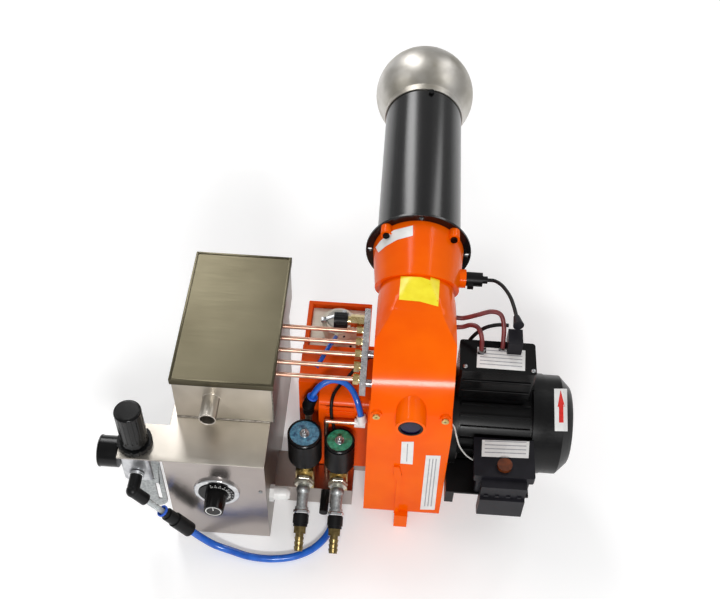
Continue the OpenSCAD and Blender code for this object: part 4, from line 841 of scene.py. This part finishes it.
make(
    "transformer_screws",
    [screw_at("ignition_transformer", *spot, 3.0) for spot in TRANSFORMER_SCREWS],
    STEEL,
)
make("control_box_screw", screw_at("control_box", *BOX_SCREW, 2.6), STEEL)
make(
    "switch_cover_screws",
    [screw_at("pressure_switch", *spot, 1.8) for spot in SWITCH_SCREWS],
    BLACKENED,
)
COVER_SCREW_X = 42
COVER_SCREW_Z = -24
RECESS_FRONT, RECESS_BACK = -259.5, -259.3
SLOT_LONG, SLOT_NARROW = 1.8, 0.35
# thin black crosses on the cover screws: painted shade where their cross recesses are
for name, x in (("left", -COVER_SCREW_X), ("right", COVER_SCREW_X)):
    cross = [
        block((x - w, RECESS_FRONT, COVER_SCREW_Z - h), (x + w, RECESS_BACK, COVER_SCREW_Z + h))
        for w, h in ((SLOT_LONG, SLOT_NARROW), (SLOT_NARROW, SLOT_LONG))
    ]
    make(f"cover_screw_recess_shade_{name}", cross, BLACK_INK_AND_SHADE)

# Weld beads: along the foot of the tank's front, and up its right-hand corner


def bead(radius, length, place, way):
    """A round bead from a place along a direction."""
    return turned([(0, 0), (radius, 0), (radius, length), (0, length)], place, way, 16)


FOOT_SEAM = (-297.5, -232.2, -91.2)
FOOT_SEAM_LENGTH = 120
CORNER_SEAM = (-172.6, -231.4, -91.0)
CORNER_SEAM_LENGTH = 70
make(
    "tank_seam",
    [
        bead(1.3, FOOT_SEAM_LENGTH, FOOT_SEAM, (1, 0, 0)),
        bead(1.1, CORNER_SEAM_LENGTH, CORNER_SEAM, (0, 0, 1)),
    ],
    WELD,
)

# Transformer: two mould ribs across its front

RIB_HALF = 1.6
RIB_LEFT, RIB_RIGHT = 63.0, 149.0
RIB_FRONT, RIB_BACK = -191.4, -189.5
RIB_HEIGHTS = (-29.0, -50.0)
ribs = [
    block((RIB_LEFT, RIB_FRONT, z - RIB_HALF), (RIB_RIGHT, RIB_BACK, z + RIB_HALF), 0.6)
    for z in RIB_HEIGHTS
]
make("transformer_ribs", ribs, ABS_BLACK)

# Hem of the lid: the folded edge stands a little proud

LID_LEFT, LID_RIGHT = -300.0, -170.0
LID_FRONT, LID_BACK = -234.0, -19.0
HEM_FOOT, HEM_TOP = -10.7, -9.9
HEM_WIDTH = 3.5
HEM_LAP = 0.1
BAR_LEFT = LID_LEFT + HEM_WIDTH - HEM_LAP
BAR_RIGHT = LID_RIGHT - HEM_WIDTH + HEM_LAP
HEMS = (
    (LID_LEFT, LID_FRONT, LID_LEFT + HEM_WIDTH, LID_BACK),
    (LID_RIGHT - HEM_WIDTH, LID_FRONT, LID_RIGHT, LID_BACK),
    (BAR_LEFT, LID_FRONT, BAR_RIGHT, LID_FRONT + HEM_WIDTH),
    (BAR_LEFT, LID_BACK - HEM_WIDTH, BAR_RIGHT, LID_BACK),
)
hems = [block((x0, y0, HEM_FOOT), (x1, y1, HEM_TOP), 0.3) for x0, y0, x1, y1 in HEMS]
make("lid_hem", hems, LID_SHEET, "lid")

# Pressure switch: grey dome, and over it a steel clip with its screw and a lug

DOME_PLACE = (-102, -66, -78)
CLIP_PLACE = (-107, -62, -76.2)
CLIP_TURN = math.radians(28)
CLIP_SCREW = (-95, -56, -76)
LUG_LOW, LUG_HIGH = (-126, -74, -78.5), (-119, -66, -74.5)
make("switch_dome", disc(16.5, 2.0, DOME_PLACE, edge=1.0), ABS_GREY)
clip = turn_and_place(block((-15, -2.5, 0), (15, 2.5, 1.0), 0.3), CLIP_TURN, "Z", CLIP_PLACE)
make(
    "switch_clip", [clip, disc(3.2, 3.6, CLIP_SCREW), block(LUG_LOW, LUG_HIGH, 0.6)],
    STEEL,
)

# CAD nodes keep their shapes and get their finish, with their sharp edges broken

MERGE_DISTANCE = 0.00001
BEVEL_FROM = math.radians(35)
SHARP_FROM = math.radians(48)


def dress(node, material, edge_mm, others=()):
    """Finish for a CAD node; others are pairs of a finish and a test for the faces that get it."""
    piece = nodes[node]
    piece.data.materials.clear()
    piece.data.materials.append(material)
    for other, _ in others:
        piece.data.materials.append(other)
    for face in piece.data.polygons:
        face.material_index = next((i for i, (_, test) in enumerate(others, 1) if test(face)), 0)
        face.use_smooth = True
    weld = piece.modifiers.new("weld", "WELD")
    weld.merge_threshold = MERGE_DISTANCE
    if edge_mm:
        bevel = piece.modifiers.new("broken_edges", "BEVEL")
        bevel.width = edge_mm * MM
        bevel.segments = 2
        bevel.limit_method = "ANGLE"
        bevel.angle_limit = BEVEL_FROM
        bevel.use_clamp_overlap = True
    split = piece.modifiers.new("sharp_edges", "EDGE_SPLIT")
    split.split_angle = SHARP_FROM
    normals = piece.modifiers.new("even_shading", "WEIGHTED_NORMAL")
    normals.keep_sharp = True


for node, material, edge in (
    ("volute_housing", ENAMEL, 2.2),
    ("housing_neck", ENAMEL, 1.2),
    ("front_cover", ENAMEL, 2.0),
    ("intake_box", ENAMEL_SHEET, 1.2),
    ("switch_tray", ENAMEL_SHEET, 0.8),
    ("mounting_flange", STOVE, 0.5),
    ("blast_tube", STOVE, 0.4),
    ("flame_head", HEAD, 0.3),
    ("sight_glass", COBALT, 0.3),
    ("oil_lance", STEEL, 0.3),
    ("motor_rotor", STEEL, 0.3),
    ("tank_heater", STEEL, 0.3),
    ("air_damper", STEEL, 0.2),
    ("diffuser_disc", BLUED, 0.2),
    ("electrodes", CERAMIC, 0.2),
    ("spray_nozzle", BRASS, 0.2),
    ("brass_fittings", BRASS, 0.3),
    ("valve_bodies", BRASS, 0.8),
    ("brass_nipples", OLD_BRASS, 0.2),
    ("motor_body", LACQUER, 0.6),
    ("motor_flange", LACQUER, 0.8),
    ("fan_cowl", LACQUER, 0.5),
    ("ignition_transformer", ABS_BLACK, 1.2),
    ("photocell", NYLON, 0.5),
    ("wiring_plugs", ABS_CHARCOAL, 0.7),
    ("control_unit", ABS_CHARCOAL, 1.0),
    ("valve_coils", NYLON, 1.2),
    ("gauge_case", ABS_BLACK, 0.6),
    ("regulator_ring", NYLON, 0.3),
    ("regulator_knob", ABS_BLACK, 0.5),
    ("push_elbows", NYLON, 0.5),
    ("hose_reducer", NYLON, 0.6),
    ("hose_unions", NYLON, 0.6),
    ("metering_knob", NYLON, 0.3),
    ("thermostat_knob", ABS_BLACK, 0.6),
    ("cooling_fan", NYLON, 0.2),
    ("tank_lid", LID_SHEET, 1.0),
    ("valve_channel", SHEET, 0.8),
    ("thermostat", CHROME, 0.4),
    ("cable_gland", NYLON_WHITE, 0.5),
    ("white_elbow", NYLON_WHITE, 0.5),
    ("regulator_body", CAST, 0.8),
    ("manifold_bar", STEEL, 0.5),
    ("impeller", STEEL, 0.0),
    ("regulator_bracket", ZINC, 0.4),
    ("clear_tube", CLEAR, 0.2),
    ("copper_pipes", COPPER, 0.2),
    ("pressure_switch", ABS_CREAM, 0.8),
    ("gauge_needle", INK_RED, 0.0),
    ("reset_button", ABS_BROWN, 1.0),
):
    dress(node, material, edge)

# the cover screws are yellow-passivated, the rest blackened
COVER_SCREWS_Y = -0.2
dress("screws", BLACKENED, 0.4, others=[(PASSIVATED, lambda face: face.center.y < COVER_SCREWS_Y)])
# the hexagons of the elbows are nickel-plated, their bends galvanised
HEXAGON_FROM_Y = -0.2555
HEXAGON_FROM_Z = -0.22
HEXAGONS = (NICKEL, lambda face: face.center.y > HEXAGON_FROM_Y and face.center.z > HEXAGON_FROM_Z)
dress("outlet_elbows", ZINC, 0.5, others=[HEXAGONS])

# the box and the tank: right-hand walls darker, a painted shade; the box's upward faces paler, painted light
# on the tops; the tank's other walls paler
# the right-hand walls get the darker sheet: painted shade on the side turned from the light
SHADED_RIGHT_WALL = (SIDE_SHEET, lambda face: face.normal.x > 0.9)
# the box's upward faces get the paler sheet: painted light on the tops
LIT_LEDGE = (PALE_SHEET, lambda face: face.normal.z > 0.5)
dress("control_box", SHEET, 0.8, others=[SHADED_RIGHT_WALL, LIT_LEDGE])
dress("preheat_tank", PALE_SHEET, 0.8, others=[SHADED_RIGHT_WALL])

# Stage: pale floor, soft lamps

WORLD_LEVEL = 0.4
FLOOR_LIFT = 0.2
FLOOR_HALF = 6.0
FLOOR_GAP = 0.0005
# name, place, target, watts, width and height
LAMPS = (
    ("soft_box_front", (0.0, -1.45, 0.76), (0.0, -0.2, 0.0), 12.5, 0.36, 0.15),
    ("soft_box_back", (-0.9, 1.8, 1.6), (0.0, 0.1, 0.0), 22.0, 0.6, 1.5),
    ("soft_box_back_right", (1.3, 1.8, 1.6), (0.0, 0.1, 0.0), 7.0, 0.35, 1.3),
    ("soft_box_left", (-1.4, 0.2, 1.2), (-0.1, -0.1, -0.1), 4.0, 0.8, 0.8),
    ("soft_box_right", (1.3, 0.4, 1.4), (0.1, -0.1, -0.1), 5.0, 0.7, 0.7),
)


def floor():
    """Pale ground that keeps the shadow and lifts to white where the camera, a mirror or glass sees it."""
    bm = bmesh.new()
    bmesh.ops.create_grid(bm, x_segments=1, y_segments=1, size=FLOOR_HALF)
    bmesh.ops.translate(bm, verts=bm.verts, vec=(0, 0, cad_box[0][2] - FLOOR_GAP))
    mesh = bpy.data.meshes.new("floor")
    bm.to_mesh(mesh)
    bm.free()
    material = finish("pale_floor", "#F2F2F2", "#F7F7F7", 0.85, 400.0, 60.0, 0.01, spread=0.02)
    tree = material.node_tree
    shader = tree.nodes["Principled BSDF"]
    shader.inputs["Emission Color"].default_value = (1.0, 1.0, 1.0, 1.0)
    rays = add(tree, "ShaderNodeLightPath").outputs
    inputs = {0: rays["Is Camera Ray"], 1: rays["Is Glossy Ray"]}
    either = add(tree, "ShaderNodeMath", inputs, operation="MAXIMUM")
    inputs = {0: either.outputs[0], 1: rays["Is Transmission Ray"]}
    any_of = add(tree, "ShaderNodeMath", inputs, operation="MAXIMUM")
    lift = add(tree, "ShaderNodeMapRange", {"Value": any_of.outputs[0], "To Max": FLOOR_LIFT})
    tree.links.new(lift.outputs["Result"], shader.inputs["Emission Strength"])
    mesh.materials.append(material)
    ground = bpy.data.objects.new("floor", mesh)
    bpy.context.scene.collection.objects.link(ground)


def lamp(name, place, target, power, size, size_y):
    """A soft box of size by size_y metres at a place, facing a target."""
    data = bpy.data.lights.new(name, "AREA")
    data.energy = power
    data.shape = "RECTANGLE"
    data.size = size
    data.size_y = size_y
    light = bpy.data.objects.new(name, data)
    bpy.context.scene.collection.objects.link(light)
    way = Vector(target) - Vector(place)
    turn = way.to_track_quat("-Z", "Y").to_matrix().to_4x4()
    light.matrix_world = Matrix.Translation(Vector(place)) @ turn


def world():
    """Even white surroundings."""
    made = bpy.data.worlds.new("studio")
    made.use_nodes = True
    tree = made.node_tree
    tree.nodes.clear()
    shade = add(tree, "ShaderNodeBackground", {"Color": (1.0, 1.0, 1.0, 1.0), "Strength": WORLD_LEVEL})
    add(tree, "ShaderNodeOutputWorld", {"Surface": shade.outputs["Background"]})
    bpy.context.scene.world = made


floor()
world()
for values in LAMPS:
    lamp(*values)
bpy.context.scene.view_settings.view_transform = "Standard"
